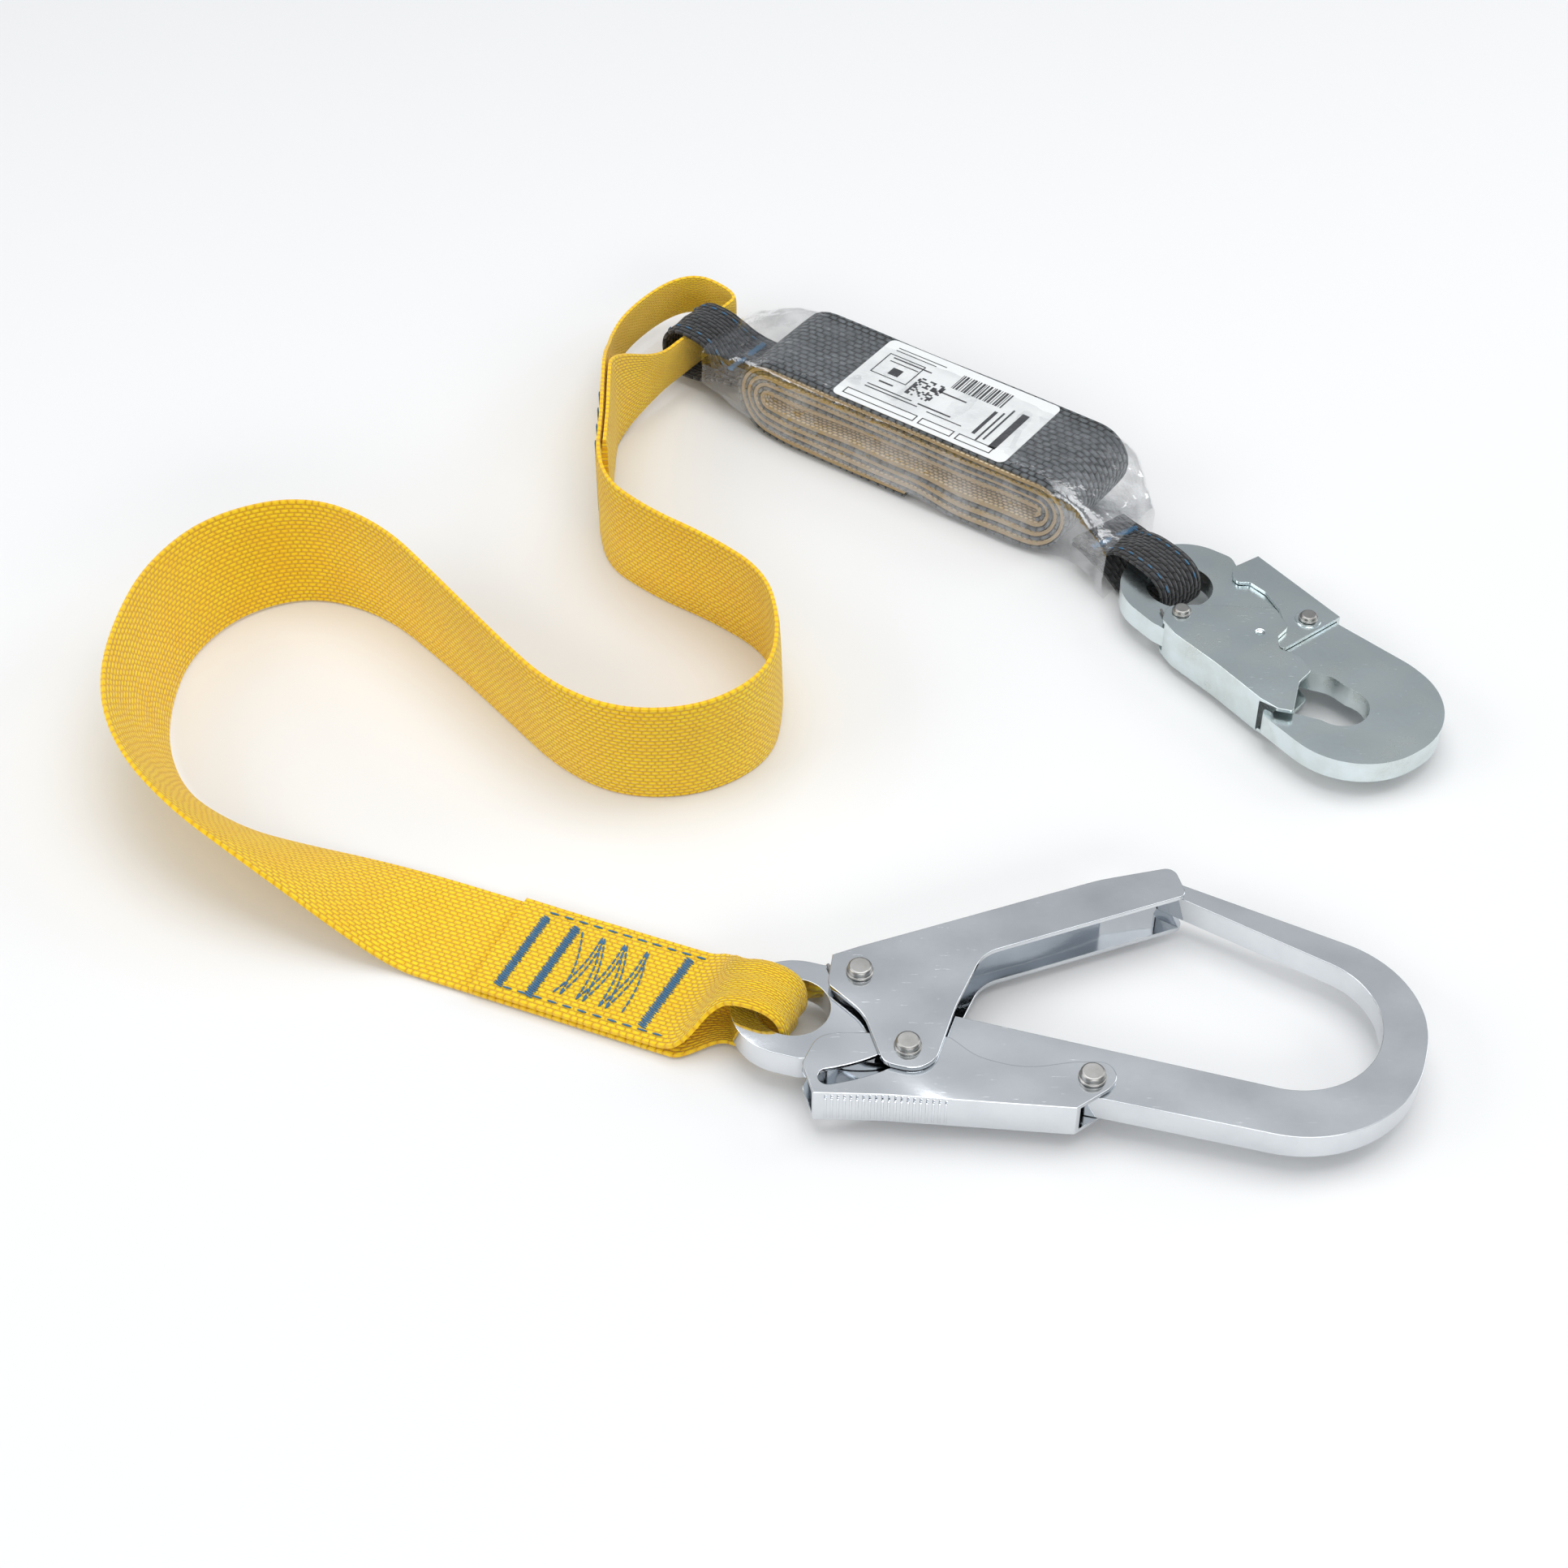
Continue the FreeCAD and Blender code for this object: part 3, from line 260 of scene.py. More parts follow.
def smudgeGroup():
    # handling marks on metal: cloudy patches, fine scratches and a fine grain in the height
    group, given, out = newGroup("handledMetal", [
        ("Vector", "NodeSocketVector", None), ("Patch Size", "NodeSocketFloat", 1.0),
        ("Scratches", "NodeSocketFloat", 0.5)],
        [("Cloud", "NodeSocketFloat"), ("Height", "NodeSocketFloat"), ("Scratch", "NodeSocketFloat")])
    scaled = group.nodes.new("ShaderNodeVectorMath")
    scaled.operation = "SCALE"
    link(group, given["Vector"], scaled.inputs[0])
    link(group, given["Patch Size"], scaled.inputs["Scale"])
    stretched = group.nodes.new("ShaderNodeMapping")
    stretched.inputs["Scale"].default_value = (0.06, 1.0, 1.0)
    stretched.inputs["Rotation"].default_value = (0, 0, math.radians(28))
    link(group, scaled.outputs[0], stretched.inputs[0])
    lines = grainOf(group, stretched.outputs[0], 0.5, 4, 0.7)
    scratch = calc(group, "MULTIPLY", spread(group, lines, 0.66, 0.74), given["Scratches"])
    cloud = grainOf(group, scaled.outputs[0], 22, 4, 0.62)
    fine = grainOf(group, scaled.outputs[0], 1.1, 2)
    link(group, cloud, out["Cloud"])
    link(group, calc(group, "SUBTRACT", calc(group, "MULTIPLY", fine, 0.15), scratch), out["Height"])
    link(group, scratch, out["Scratch"])
    return group


wovenBeads = weaveGroup()
handledMetal = smudgeGroup()


def newFinish(name, **values):
    material = bpy.data.materials.new(name)
    material.use_nodes = True
    tree = material.node_tree
    shader = tree.nodes["Principled BSDF"]
    for label, value in values.items():
        shader.inputs[label.replace("_", " ")].default_value = value
    return material, tree, shader


def objectSpot(tree):
    return tree.nodes.new("ShaderNodeTexCoord").outputs["Object"]


def webSpot(tree):
    node = tree.nodes.new("ShaderNodeUVMap")
    node.uv_map = "webbing"
    return node.outputs["UV"]


def bumpInto(tree, shader, height, depth, strength=1.0):
    node = tree.nodes.new("ShaderNodeBump")
    node.inputs["Strength"].default_value = strength
    node.inputs["Distance"].default_value = depth * mm
    link(tree, height, node.inputs["Height"])
    link(tree, node.outputs["Normal"], shader.inputs["Normal"])


def placeGroup(tree, group, vector, **values):
    node = tree.nodes.new("ShaderNodeGroup")
    node.node_tree = group
    link(tree, vector, node.inputs["Vector"])
    for label, value in values.items():
        node.inputs[label.replace("_", " ")].default_value = value
    return node.outputs


def webFinish(name, bright, dark, hollowShade, length, width, shift, depth, roughness=0.75, fibre=0.25,
              sheen=0.25):
    material, tree, shader = newFinish(name, Roughness=roughness, Sheen_Weight=sheen, Specular_IOR_Level=0.3)
    woven = placeGroup(tree, wovenBeads, webSpot(tree), Bead_Length=length, Bead_Width=width, Row_Shift=shift,
                       Fibre=fibre)
    color = blendColor(tree, spread(tree, woven["Tint"], 0.35, 0.68), (*dark, 1), (*bright, 1))
    # painted shade: the colour is darkened in the recesses between the beads of the weave
    color = blendColor(tree, woven["Hollow Shade"], color, (*hollowShade, 1))
    link(tree, color, shader.inputs["Base Color"])
    bumpInto(tree, shader, woven["Height"], depth)
    return material


def metalFinish(name, bright, dull, low, high, patch=1.0, scratches=0.4, depth=0.03, wave=0.4, metallic=1.0):
    material, tree, shader = newFinish(name, Metallic=metallic)
    marks = placeGroup(tree, handledMetal, objectSpot(tree), Patch_Size=patch, Scratches=scratches)
    color = blendColor(tree, spread(tree, marks["Cloud"], 0.38, 0.66), (*bright, 1), (*dull, 1))
    link(tree, color, shader.inputs["Base Color"])
    rough = calc(tree, "ADD", spread(tree, marks["Cloud"], 0.3, 0.7, low, high),
                 calc(tree, "MULTIPLY", marks["Scratch"], 0.2))
    link(tree, rough, shader.inputs["Roughness"])
    sway = calc(tree, "MULTIPLY", grainOf(tree, objectSpot(tree), 42, 1), wave / depth)
    bumpInto(tree, shader, calc(tree, "ADD", marks["Height"], sway), depth)
    return material


def threadFinish():
    material, tree, shader = newFinish("threadBlue", Roughness=0.55, Sheen_Weight=0.3)
    spot = objectSpot(tree)
    color = blendColor(tree, grainOf(tree, spot, 1.2, 2), (0.012, 0.075, 0.17, 1), (0.04, 0.2, 0.38, 1))
    link(tree, color, shader.inputs["Base Color"])
    bumpInto(tree, shader, grainOf(tree, spot, 0.25, 2), 0.08)
    return material


def filmFinish():
    material, tree, shader = newFinish("clearFilm", Metallic=1.0, Roughness=0.09)
    spot = objectSpot(tree)
    shader.inputs["Base Color"].default_value = (0.97, 0.98, 1.0, 1)
    glance = tree.nodes.new("ShaderNodeLayerWeight")
    glance.inputs["Blend"].default_value = 0.28
    haze = spread(tree, grainOf(tree, spot, 18, 3, 0.6), 0.42, 0.72, 0.02, 0.15)
    alpha = calc(tree, "ADD", calc(tree, "MULTIPLY", glance.outputs["Facing"], 0.22), haze, clamp=True)
    link(tree, alpha, shader.inputs["Alpha"])
    bumpInto(tree, shader, calc(tree, "ADD", grainOf(tree, spot, 7, 3, 0.6), grainOf(tree, spot, 26, 1)), 0.9)
    return material


def paperFinish(name, bright, dark, roughness):
    material, tree, shader = newFinish(name, Roughness=roughness)
    spot = objectSpot(tree)
    color = blendColor(tree, grainOf(tree, spot, 12, 4, 0.6), (*bright, 1), (*dark, 1))
    link(tree, color, shader.inputs["Base Color"])
    bumpInto(tree, shader, grainOf(tree, spot, 3, 2), 0.05)
    return material


# the third colour of each webbing finish is the painted shade colour for the recesses of the weave
finishes = {
    "strapYellow": webFinish("strapYellow", (1.0, 0.72, 0.010), (1.0, 0.64, 0.008), (0.84, 0.45, 0.004), 3.0,
                             1.75, 0.5, 0.6),
    "loopBlack": webFinish("loopBlack", (0.03, 0.03, 0.033), (0.014, 0.014, 0.016), (0.002, 0.002, 0.002),
                           4.4, 2.6, 0.5, 1.1, 0.55),
    "plyCream": webFinish("plyCream", (0.90, 0.74, 0.50), (0.78, 0.61, 0.38), (0.36, 0.26, 0.14), 2.4, 1.5,
                          0.5, 0.6, 0.85),
    "plyGrey": webFinish("plyGrey", (0.15, 0.17, 0.185), (0.075, 0.086, 0.095), (0.004, 0.005, 0.005), 4.0,
                         2.8, 0.5, 1.3, 0.5),
    "steelBright": metalFinish("steelBright", (0.76, 0.785, 0.81), (0.69, 0.715, 0.745), 0.05, 0.12, 0.8,
                               0.25, 0.02, 1.3),
    "zincPlate": metalFinish("zincPlate", (0.72, 0.80, 0.82), (0.63, 0.68, 0.665), 0.17, 0.3, 1.4, 0.8, 0.018,
                             0.7),
    "rivetSatin": metalFinish("rivetSatin", (0.46, 0.455, 0.44), (0.33, 0.325, 0.31), 0.28, 0.4, 2.0, 0.4,
                              0.03),
    "springWire": metalFinish("springWire", (0.42, 0.42, 0.43), (0.28, 0.28, 0.29), 0.25, 0.4, 2.0, 0.2,
                              0.02),
    "threadBlue": threadFinish(),
    "clearFilm": filmFinish(),
    "labelWhite": paperFinish("labelWhite", (0.86, 0.87, 0.86), (0.78, 0.79, 0.79), 0.35),
    "labelInk": paperFinish("labelInk", (0.02, 0.02, 0.022), (0.05, 0.05, 0.055), 0.45),
}
print("finishes made:", len(finishes))


# Camera

cameraSetup = {"floorSpot": (-55.662, -58.588), "elevation": 44.0, "distance": 1020.0, "lens": 63.354}


def makeCamera(values):
    data = bpy.data.cameras.new("sceneCamera")
    camera = bpy.data.objects.new("sceneCamera", data)
    scene.collection.objects.link(camera)
    a = math.radians(values["elevation"])
    back = Vector((0, -math.cos(a), math.sin(a)))
    camera.location = (Vector((*values["floorSpot"], 0)) + back * values["distance"]) * mm
    camera.rotation_euler = (math.radians(90 - values["elevation"]), 0, 0)
    data.lens = values["lens"]
    data.sensor_width = 36
    data.clip_start = 0.01
    data.clip_end = 20
    scene.camera = camera
    return camera


makeCamera(cameraSetup)
print("camera set")


# The free strap: one length of webbing, on its edge first and turned flat at the scaffold hook

strapBand = {
    "width": 45.0, "thickness": 2.4,
    # x, y, height of the middle, lean of the upper edge in degrees
    "route": [
        (-129.7, 91.3, 22.5, 0), (-128.7, 70.4, 22.5, 0), (-108.7, 49.4, 22.5, 2), (-83.7, 32.4, 22.5, 4),
        (-61.7, 11.4, 22.5, 4), (-56.7, -17.6, 22.5, 2), (-60.7, -45.6, 22.5, 0), (-83.7, -64.6, 22.5, -2),
        (-112.7, -66.6, 22.5, -3), (-137.7, -53.6, 22.5, -4), (-159.7, -26.6, 22.5, -4),
        (-185.7, 7.4, 22.5, -2),
        (-211.7, 38.4, 22.5, 3), (-242.7, 53.4, 22.5, 9), (-273.7, 41.4, 22.5, 12), (-291.7, 14.4, 22.5, 14),
        (-296.2, -16.6, 22.4, 18), (-294.2, -48.6, 22.2, 24), (-282.7, -75.6, 21.5, 30),
        (-260.2, -97.1, 20.0, 40),
        (-234.7, -110.1, 15.5, 54), (-206.7, -121.4, 8.5, 72), (-181.6, -130.8, 1.2, 90),
        (-168.0, -136.3, 1.2, 90),
        (-153.8, -142.1, 1.2, 90)],
}


def makeStrapBand(values):
    route = values["route"]
    line = splinePoints([(x, y, z) for x, y, z, lean in route])
    leans = splinePoints([(lean, 0, 0) for x, y, z, lean in route])
    even = evenly([(p.x, p.y, p.z, q.x) for p, q in zip(line, leans)], 2.0)
    stations, path = [], []
    half, thin = values["width"] / 2, values["thickness"] / 2
    for k, (s, p) in enumerate(even):
        a = Vector(even[max(k - 1, 0)][1][:3])
        b = Vector(even[min(k + 1, len(even) - 1)][1][:3])
        along = b - a
        along.z = 0
        along.normalize()
        lean = math.radians(p[3])
        side = Vector((along.y, -along.x, 0))
        across = up * math.cos(lean) + side * math.sin(lean)
        lowest = half * abs(math.cos(lean)) + thin * abs(math.sin(lean))
        centre = Vector((p[0], p[1], max(p[2], lowest))) * mm
        stations.append((s * mm, centre, across, along.cross(across), values["width"] * mm,
                         values["thickness"] * mm))
        path.append(centre)

    def settle(spot, along, across):
        drift = Vector((noise.noise(spot * 22), noise.noise(spot * 22 + Vector((3, 1, 7))), 0)) * 0.5 * mm
        return spot + drift

    piece = sweepWeb("strapBand", stations, finishes["strapYellow"], "strap", "yellow_webbing",
                     ("strap_run", "strap_twist"), settle)
    return piece


makeStrapBand(strapBand)


# Sewing thread: short raised stitches, each a small spindle

def sewAlong(stations, u, start, stop, stitch, gap, lift=0.12):
    # a dashed line of stitches that follows the outer face of a piece of webbing
    spots = []
    for s, centre, across, normal, width, thick in stations:
        spots.append((s / mm, centre + across * u * width / 2 + normal * (thick / 2 + lift * mm)))

    def spotAt(s):
        for (a, p), (b, q) in zip(spots[:-1], spots[1:]):
            if a <= s <= b:
                return p + (q - p) * ((s - a) / max(1e-9, b - a))
        return spots[-1][1]

    lines, s = [], start
    while s + stitch <= stop:
        lines.append((spotAt(s), spotAt(s + stitch)))
        s += stitch + gap
    return lines


def barTack(place, start, end, z, reach=1.7, pitch=0.9):
    # a dense zigzag across the webbing between two points of a piece's own frame, in millimetres
    a, b = Vector((*start, z)), Vector((*end, z))
    run = b - a
    side = Vector((-run.y, run.x, 0)).normalized()
    count = int(run.length / pitch)
    lines = []
    for k in range(count):
        middle = a + run * ((k + 0.5) / count)
        skew = run.normalized() * pitch * 0.45
        wide = reach * (1 + 0.16 * math.sin(k * 2.3) + 0.1 * math.sin(k * 5.1))
        lines.append((place @ ((middle - side * wide - skew) * mm),
                      place @ ((middle + side * wide + skew) * mm)))
    return lines


def makeThreads(name, lines, radius, body, stands=()):
    bm = bmesh.new()
    for a, b in lines:
        run = b - a
        turn = run.to_track_quat("Z", "Y").to_matrix().to_4x4()
        size = Matrix.Diagonal((radius * mm, radius * mm, run.length / 2 + radius * mm * 0.6, 1))
        matrix = Matrix.Translation((a + b) / 2) @ turn @ size
        bmesh.ops.create_uvsphere(bm, u_segments=6, v_segments=4, radius=1, matrix=matrix)
    return addPiece(name, bm, finishes["threadBlue"], body, sharp=80, slot="blue_thread", stands=stands)


# The sewn eye at the scaffold hook

lowerEye = {
    "arm": (-65.847, -177.989), "turn": -22.2, "width": 45.0, "bunched": 21.0, "thickness": 2.4,
    "foldDepth": 0.9,
    "line": [(-96, 3.65), (-75, 3.65), (-52, 3.65), (-34, 3.7), (-19.5, 4.0), (-7.5, 23.2), (13.95, 22.6),
             (13.95, 2.55), (-8, 2.4), (-17, 1.2), (-40, 1.2), (-68, 1.2), (-95, 1.2)],
    "tacks": [((-87.1, -18.9), (-85.0, 16.5)), ((-75.4, -19.5), (-73.2, 16.0)),
              ((-33.8, -17.5), (-30.6, 17.0)),
              ((-22.3, -16.5), (-19.2, 17.0))],
    "zigzagTops": [-63.0, -54.5, -46.0], "zigzagBottoms": [-68.0, -59.5, -51.0, -42.5], "zigzagReach": 14.5,
    "zigzagShift": 2.5,
    "zigzagBulge": 1.6, "zigzagStitches": 9, "edgeLines": (-0.83, 0.83), "edgeStitch": 3.4, "edgeGap": 2.2,
}


def makeLowerEye(values):
    place = standAt(*values["arm"], values["turn"])
    wide, narrow = values["width"], values["bunched"]

    def widthAt(x, z, s):
        return wide - (wide - narrow) * blendStep(-21, -5, x)

    stations = sideStations(values["line"], place, widthAt, values["thickness"])
    axis = place.to_3x3() @ Vector((0, 1, 0))
    middle = place @ (Vector((0, 0, 12.5)) * mm)
    back = place.inverted()

    def settle(spot, along, across):
        local = (back @ spot) / mm
        folded = blendStep(-20, -6, local.x)
        away = spot - middle
        away -= axis * away.dot(axis)
        away.normalize()
        depth = values["foldDepth"] * folded * (0.5 + 0.5 * math.cos(2.6 * math.pi * across))
        puff = 0.5 * noise.noise(spot * 70) * blendStep(-30, -10, local.x)
        ripple = 0.25 * noise.noise(spot * 45) if local.z > 2.6 else 0
        return spot + away * (depth + puff * folded) * mm + up * ripple * mm

    sweepWeb("strapLowerEye", stations, finishes["strapYellow"], "strap", "yellow_webbing",
             ("strap_lower_eye",), settle)
    lines = []
    top = values["thickness"] * 2 + 0.05 + 0.2
    for start, end in values["tacks"]:
        lines += barTack(place, start, end, top)
    tops, bottoms, reach = values["zigzagTops"], values["zigzagBottoms"], values["zigzagReach"]
    shift = values["zigzagShift"]
    corners = []
    for k, x in enumerate(tops):
        corners.append(((bottoms[k], -reach), (x, reach)))
        corners.append(((x, reach), (bottoms[k + 1], -reach)))
        corners.append(((bottoms[k] - shift, reach), (x - shift, -reach)))
        corners.append(((x - shift, -reach), (bottoms[k + 1] - shift, reach)))
    for (x0, y0), (x1, y1) in corners:
        count = values["zigzagStitches"]
        for k in range(count):
            a, b = k / count, (k + 0.8) / count
            spots = []
            for t in (a, b):
                sway = math.sin(math.pi * t) * values["zigzagBulge"] * (1 if x1 > x0 else -1)
                spots.append(place @ (Vector((x0 + (x1 - x0) * t + sway, y0 + (y1 - y0) * t, top)) * mm))
            lines.append(tuple(spots))
    for u in values["edgeLines"]:
        lines += sewAlong(stations, u, 11, 76, values["edgeStitch"], values["edgeGap"], 0.2)
    makeThreads("strapLowerStitches", lines, 0.42, "strap", ("strap_lower_stitching",))
    print("lower eye sewn")


makeLowerEye(lowerEye)


# The eye at the absorber, on its edge and folded down where it goes through the black loop

upperEye = {
    "width": 45.0, "thickness": 2.4, "foldFrom": 138.0, "foldTo": 186.0, "foldHeading": 60.0,
    "plan": (-55.662, -58.588),
    "tackSide": -131.2, "tackHeight": 22.5, "tacks": (97.5, 108.5, 119.5, 130.5), "tackReach": 17,
    "line": [(-127.2, 91.4), (-127.2, 112), (-127.2, 136), (-127.0, 153), (-104.1, 183.5), (-81.9, 214.3),
             (-74.9, 224.0),
             (-98.9, 244.0), (-129.7, 204.0), (-129.7, 168), (-129.7, 130), (-129.7, 91.4)],
}


def makeUpperEye(values):
    direction = heading(values["foldHeading"])
    even = evenly([tuple(p) for p in splinePoints([(x, y, 0) for x, y in values["line"]])], 1.8)
    stations = []
    for k, (s, p) in enumerate(even):
        a = Vector(even[max(k - 1, 0)][1])
        b = Vector(even[min(k + 1, len(even) - 1)][1])
        along = (b - a).normalized()
        plan = Vector(p) - Vector((*values["plan"], 0))
        folded = blendStep(values["foldFrom"], values["foldTo"], plan.dot(direction))
        low, high = 7 * folded, values["width"] - 20 * folded
        centre = Vector((p[0], p[1], (low + high) / 2)) * mm
        stations.append((s * mm, centre, up, along.cross(up), (high - low) * mm, values["thickness"] * mm))

    def settle(spot, along, across):
        plan = spot / mm - Vector((*values["plan"], 0))
        folded = blendStep(values["foldFrom"], values["foldTo"], plan.dot(direction))
        drift = Vector((noise.noise(spot * 30), noise.noise(spot * 30 + Vector((5, 2, 1))), 0)) * 0.5 * mm
        return spot + drift * (1 - folded)

    sweepWeb("strapUpperEye", stations, finishes["strapYellow"], "strap", "yellow_webbing",
             ("strap_upper_eye",), settle)
    lines = []
    stand = Matrix.Translation(Vector((values["tackSide"], 0, values["tackHeight"])) * mm)
    upright = stand @ Matrix.Rotation(math.radians(-90), 4, "Y")
    reach = values["tackReach"]
    for y in values["tacks"]:
        lines += barTack(upright, (-reach, y), (reach, y), 0.0, 1.4, 1.0)
    makeThreads("strapUpperStitches", lines, 0.4, "strap", ("strap_upper_stitching",))
    print("upper eye sewn")


makeUpperEye(upperEye)


# The absorber's two black loops

upperLoop = {
    "link": (-91.262, 201.312), "turn": 144.2, "thickness": 2.0, "wide": 34.0, "narrow": 26.0,
    "line": [(-36.5, 16.3), (-26, 16.3), (-19, 17.0), (-10, 26.6), (11, 26.6), (11, 5.4), (-10, 5.4),
             (-19, 13.4), (-26, 14.2),
             (-36.5, 14.2)],
    "tackAt": (-24.5, 12.0), "tackHeight": 17.6,
}
lowerLoop = {
    "link": (89.508, 48.911), "turn": -53.8, "thickness": 2.0, "wide": 27.0, "narrow": 20.5,
    "line": [(-32.5, 14.0), (-24, 14.0), (-17, 15.5), (-9, 21.2), (17, 21.2), (17, 1.3), (-9, 1.3),
             (-17, 9.0), (-24, 11.9),
             (-32.5, 11.95)],
    "tackAt": (-23.0, 11.5), "tackHeight": 15.4,
}


def makeLoop(name, values, stands, tackNode):
    place = standAt(*values["link"], values["turn"])

    def widthAt(x, z, s):
        return values["wide"] - (values["wide"] - values["narrow"]) * blendStep(-22, -10, x)

    stations = sideStations(values["line"], place, widthAt, values["thickness"], spacing=1.2)

    def settle(spot, along, across):
        lift = 0.45 * math.cos(2.2 * math.pi * across) * (1 - abs(across))
        return spot + up * lift * mm * (1 if spot.z > 0.0042 else 0)

    sweepWeb(name, stations, finishes["loopBlack"], "absorber", "black_webbing", stands, settle)
    x, reach = values["tackAt"]
    lines = barTack(place, (x, -reach), (x + 1.0, reach), values["tackHeight"], 1.6, 0.8)
    for u in (-0.7, 0.7):
        lines += sewAlong(stations, u, 11, 52, 2.6, 2.8, 0.35)
    makeThreads(name + "Stitches", lines, 0.36, "absorber", (tackNode,))
    print(name, "made")


makeLoop("absorberUpperLoop", upperLoop, ("absorber_upper_loop",), "absorber_upper_bar_tack")
makeLoop("absorberLowerLoop", lowerLoop, ("absorber_lower_loop",), "absorber_lower_bar_tack")


# The absorber: tear webbing rolled flat, its printed label and the clear film over both

absorberPack = {
    "middle": (5.738, 137.512), "turn": -35.8, "length": 166.0, "width": 48.0, "halfTurns": 8, "core": 0.7,
    "cream": 1.95, "grey": 1.35, "gap": 0.1, "tail": 6.0, "bottom": 1.0, "sag": 2.6, "lean": 4.5,
    "waviness": 0.8,
}
packPlace = standAt(*absorberPack["middle"], absorberPack["turn"])
packBack = packPlace.inverted()


def settlePack(spot):
    # the roll leans out toward its foot and sags where the outer ply has ended
    v = absorberPack
    p = (packBack @ spot) / mm
    low = blendStep(24, 2, p.z)
    middle = blendStep(-92, -50, p.x) * blendStep(96, 55, p.x)
    p.y -= v["lean"] * low * middle
    p.z -= v["sag"] * blendStep(8, 34, p.x) * blendStep(88, 62, p.x) * blendStep(22, 5, p.z)
    calm = blendStep(33, 25, p.z) * blendStep(0.5, 5, p.z)
    p.z += v["waviness"] * calm * noise.noise(Vector((p.x / 26, p.z / 16, 0.4)))
    p.z = max(p.z, 0.35)
    return packPlace @ (p * mm)


def rollLine(radiusOffset):
    v = absorberPack
    pitch = v["cream"] + v["grey"] + 2 * v["gap"]
    stack = v["cream"] + v["gap"] + v["grey"]
    turns = v["halfTurns"]
    outer = v["core"] + (turns - 1) * pitch / 2 + stack
    half = v["length"] / 2 - outer - 0.4
    lift = v["bottom"] + outer + pitch / 2
    spots = []
    for i in range(turns):
        radius = v["core"] + i * pitch / 2 + radiusOffset
        side = 1 if i % 2 == 0 else -1
        middle = 0 if side > 0 else -pitch / 2
        for k in range(13):
            a = math.radians(-90 + 180 * k / 12) if side > 0 else math.radians(90 + 180 * k / 12)
            spots.append((side * half + radius * math.cos(a), 0, lift + middle + radius * math.sin(a)))
    spots.append((v["tail"], 0, spots[-1][2]))
    return spots, lift + outer - pitch / 2


def makeRoll(values):
    turn = packPlace.to_3x3()
    across = turn @ Vector((0, 1, 0))
    plies = [("absorberTearWebbing", values["cream"] / 2, values["cream"], "plyCream", "cream_webbing",
              "absorber_tear_webbing"),
             ("absorberInnerWebbing", values["cream"] + values["gap"] + values["grey"] / 2, values["grey"],
              "plyGrey",
              "grey_webbing", "absorber_inner_webbing")]
    for name, offset, thick, finish, slot, node in plies:
        spots, top = rollLine(offset)
        even = evenly(spots, 1.9)
        stations = []
        for k, (s, p) in enumerate(even):
            a = Vector(even[max(k - 1, 0)][1])
            b = Vector(even[min(k + 1, len(even) - 1)][1])
            normal = (turn @ (b - a).normalized()).cross(across)
            centre = packPlace @ (Vector(p) * mm)
            stations.append((s * mm, centre, across, normal, values["width"] * mm, thick * mm))

        def settle(spot, along, u):
            wander = noise.noise(Vector((along * 16, thick, 2))) * 1.1 * mm
            return settlePack(spot) + across * wander

        sweepWeb(name, stations, finishes[finish], "absorber", slot, (node,), settle, columns=9, edge=0.3)
    print("roll wound")
    return top


rollTop = makeRoll(absorberPack)

label = {
    "middle": 6.5, "size": (84.0, 46.0), "corner": 3.0, "thickness": 0.2, "lift": 0.15, "inkLift": 0.04,
    "boxLine": 0.55,
    # x, y of the lower left corner, width, height, all on the label
    "bars": [(31, -17, 3.4, 27), (26.6, -14, 0.9, 24), (24.2, -16, 0.9, 22), (20.6, -13, 1.6, 18),
             (-34, 11.5, 19, 0.8),
             (-34, 9.0, 14, 0.6), (-33, -9.5, 22, 0.7), (-33, -11.5, 26, 0.7), (-8, -9.6, 16, 0.9),
             (-6, 2.6, 14, 0.9),
             (-36, 18.6, 24, 0.5), (-36, 16.6, 20, 0.5), (-2, -12, 17, 0.6), (-30, 1.0, 5, 5),
             (-30, -5.6, 7, 1.0)],
    "boxes": [(-38, -20.5, 35, 4.4), (-1, -20.5, 16, 4.4), (17, -20.5, 17, 4.4), (-37, -1.6, 18, 15.5)],
    "codeAt": (-3.0, 8.0), "codeSize": (24.0, 10.5), "squareAt": (-17.0, -6.0), "squareSize": 13.0,
    "squareCells": 13,
}


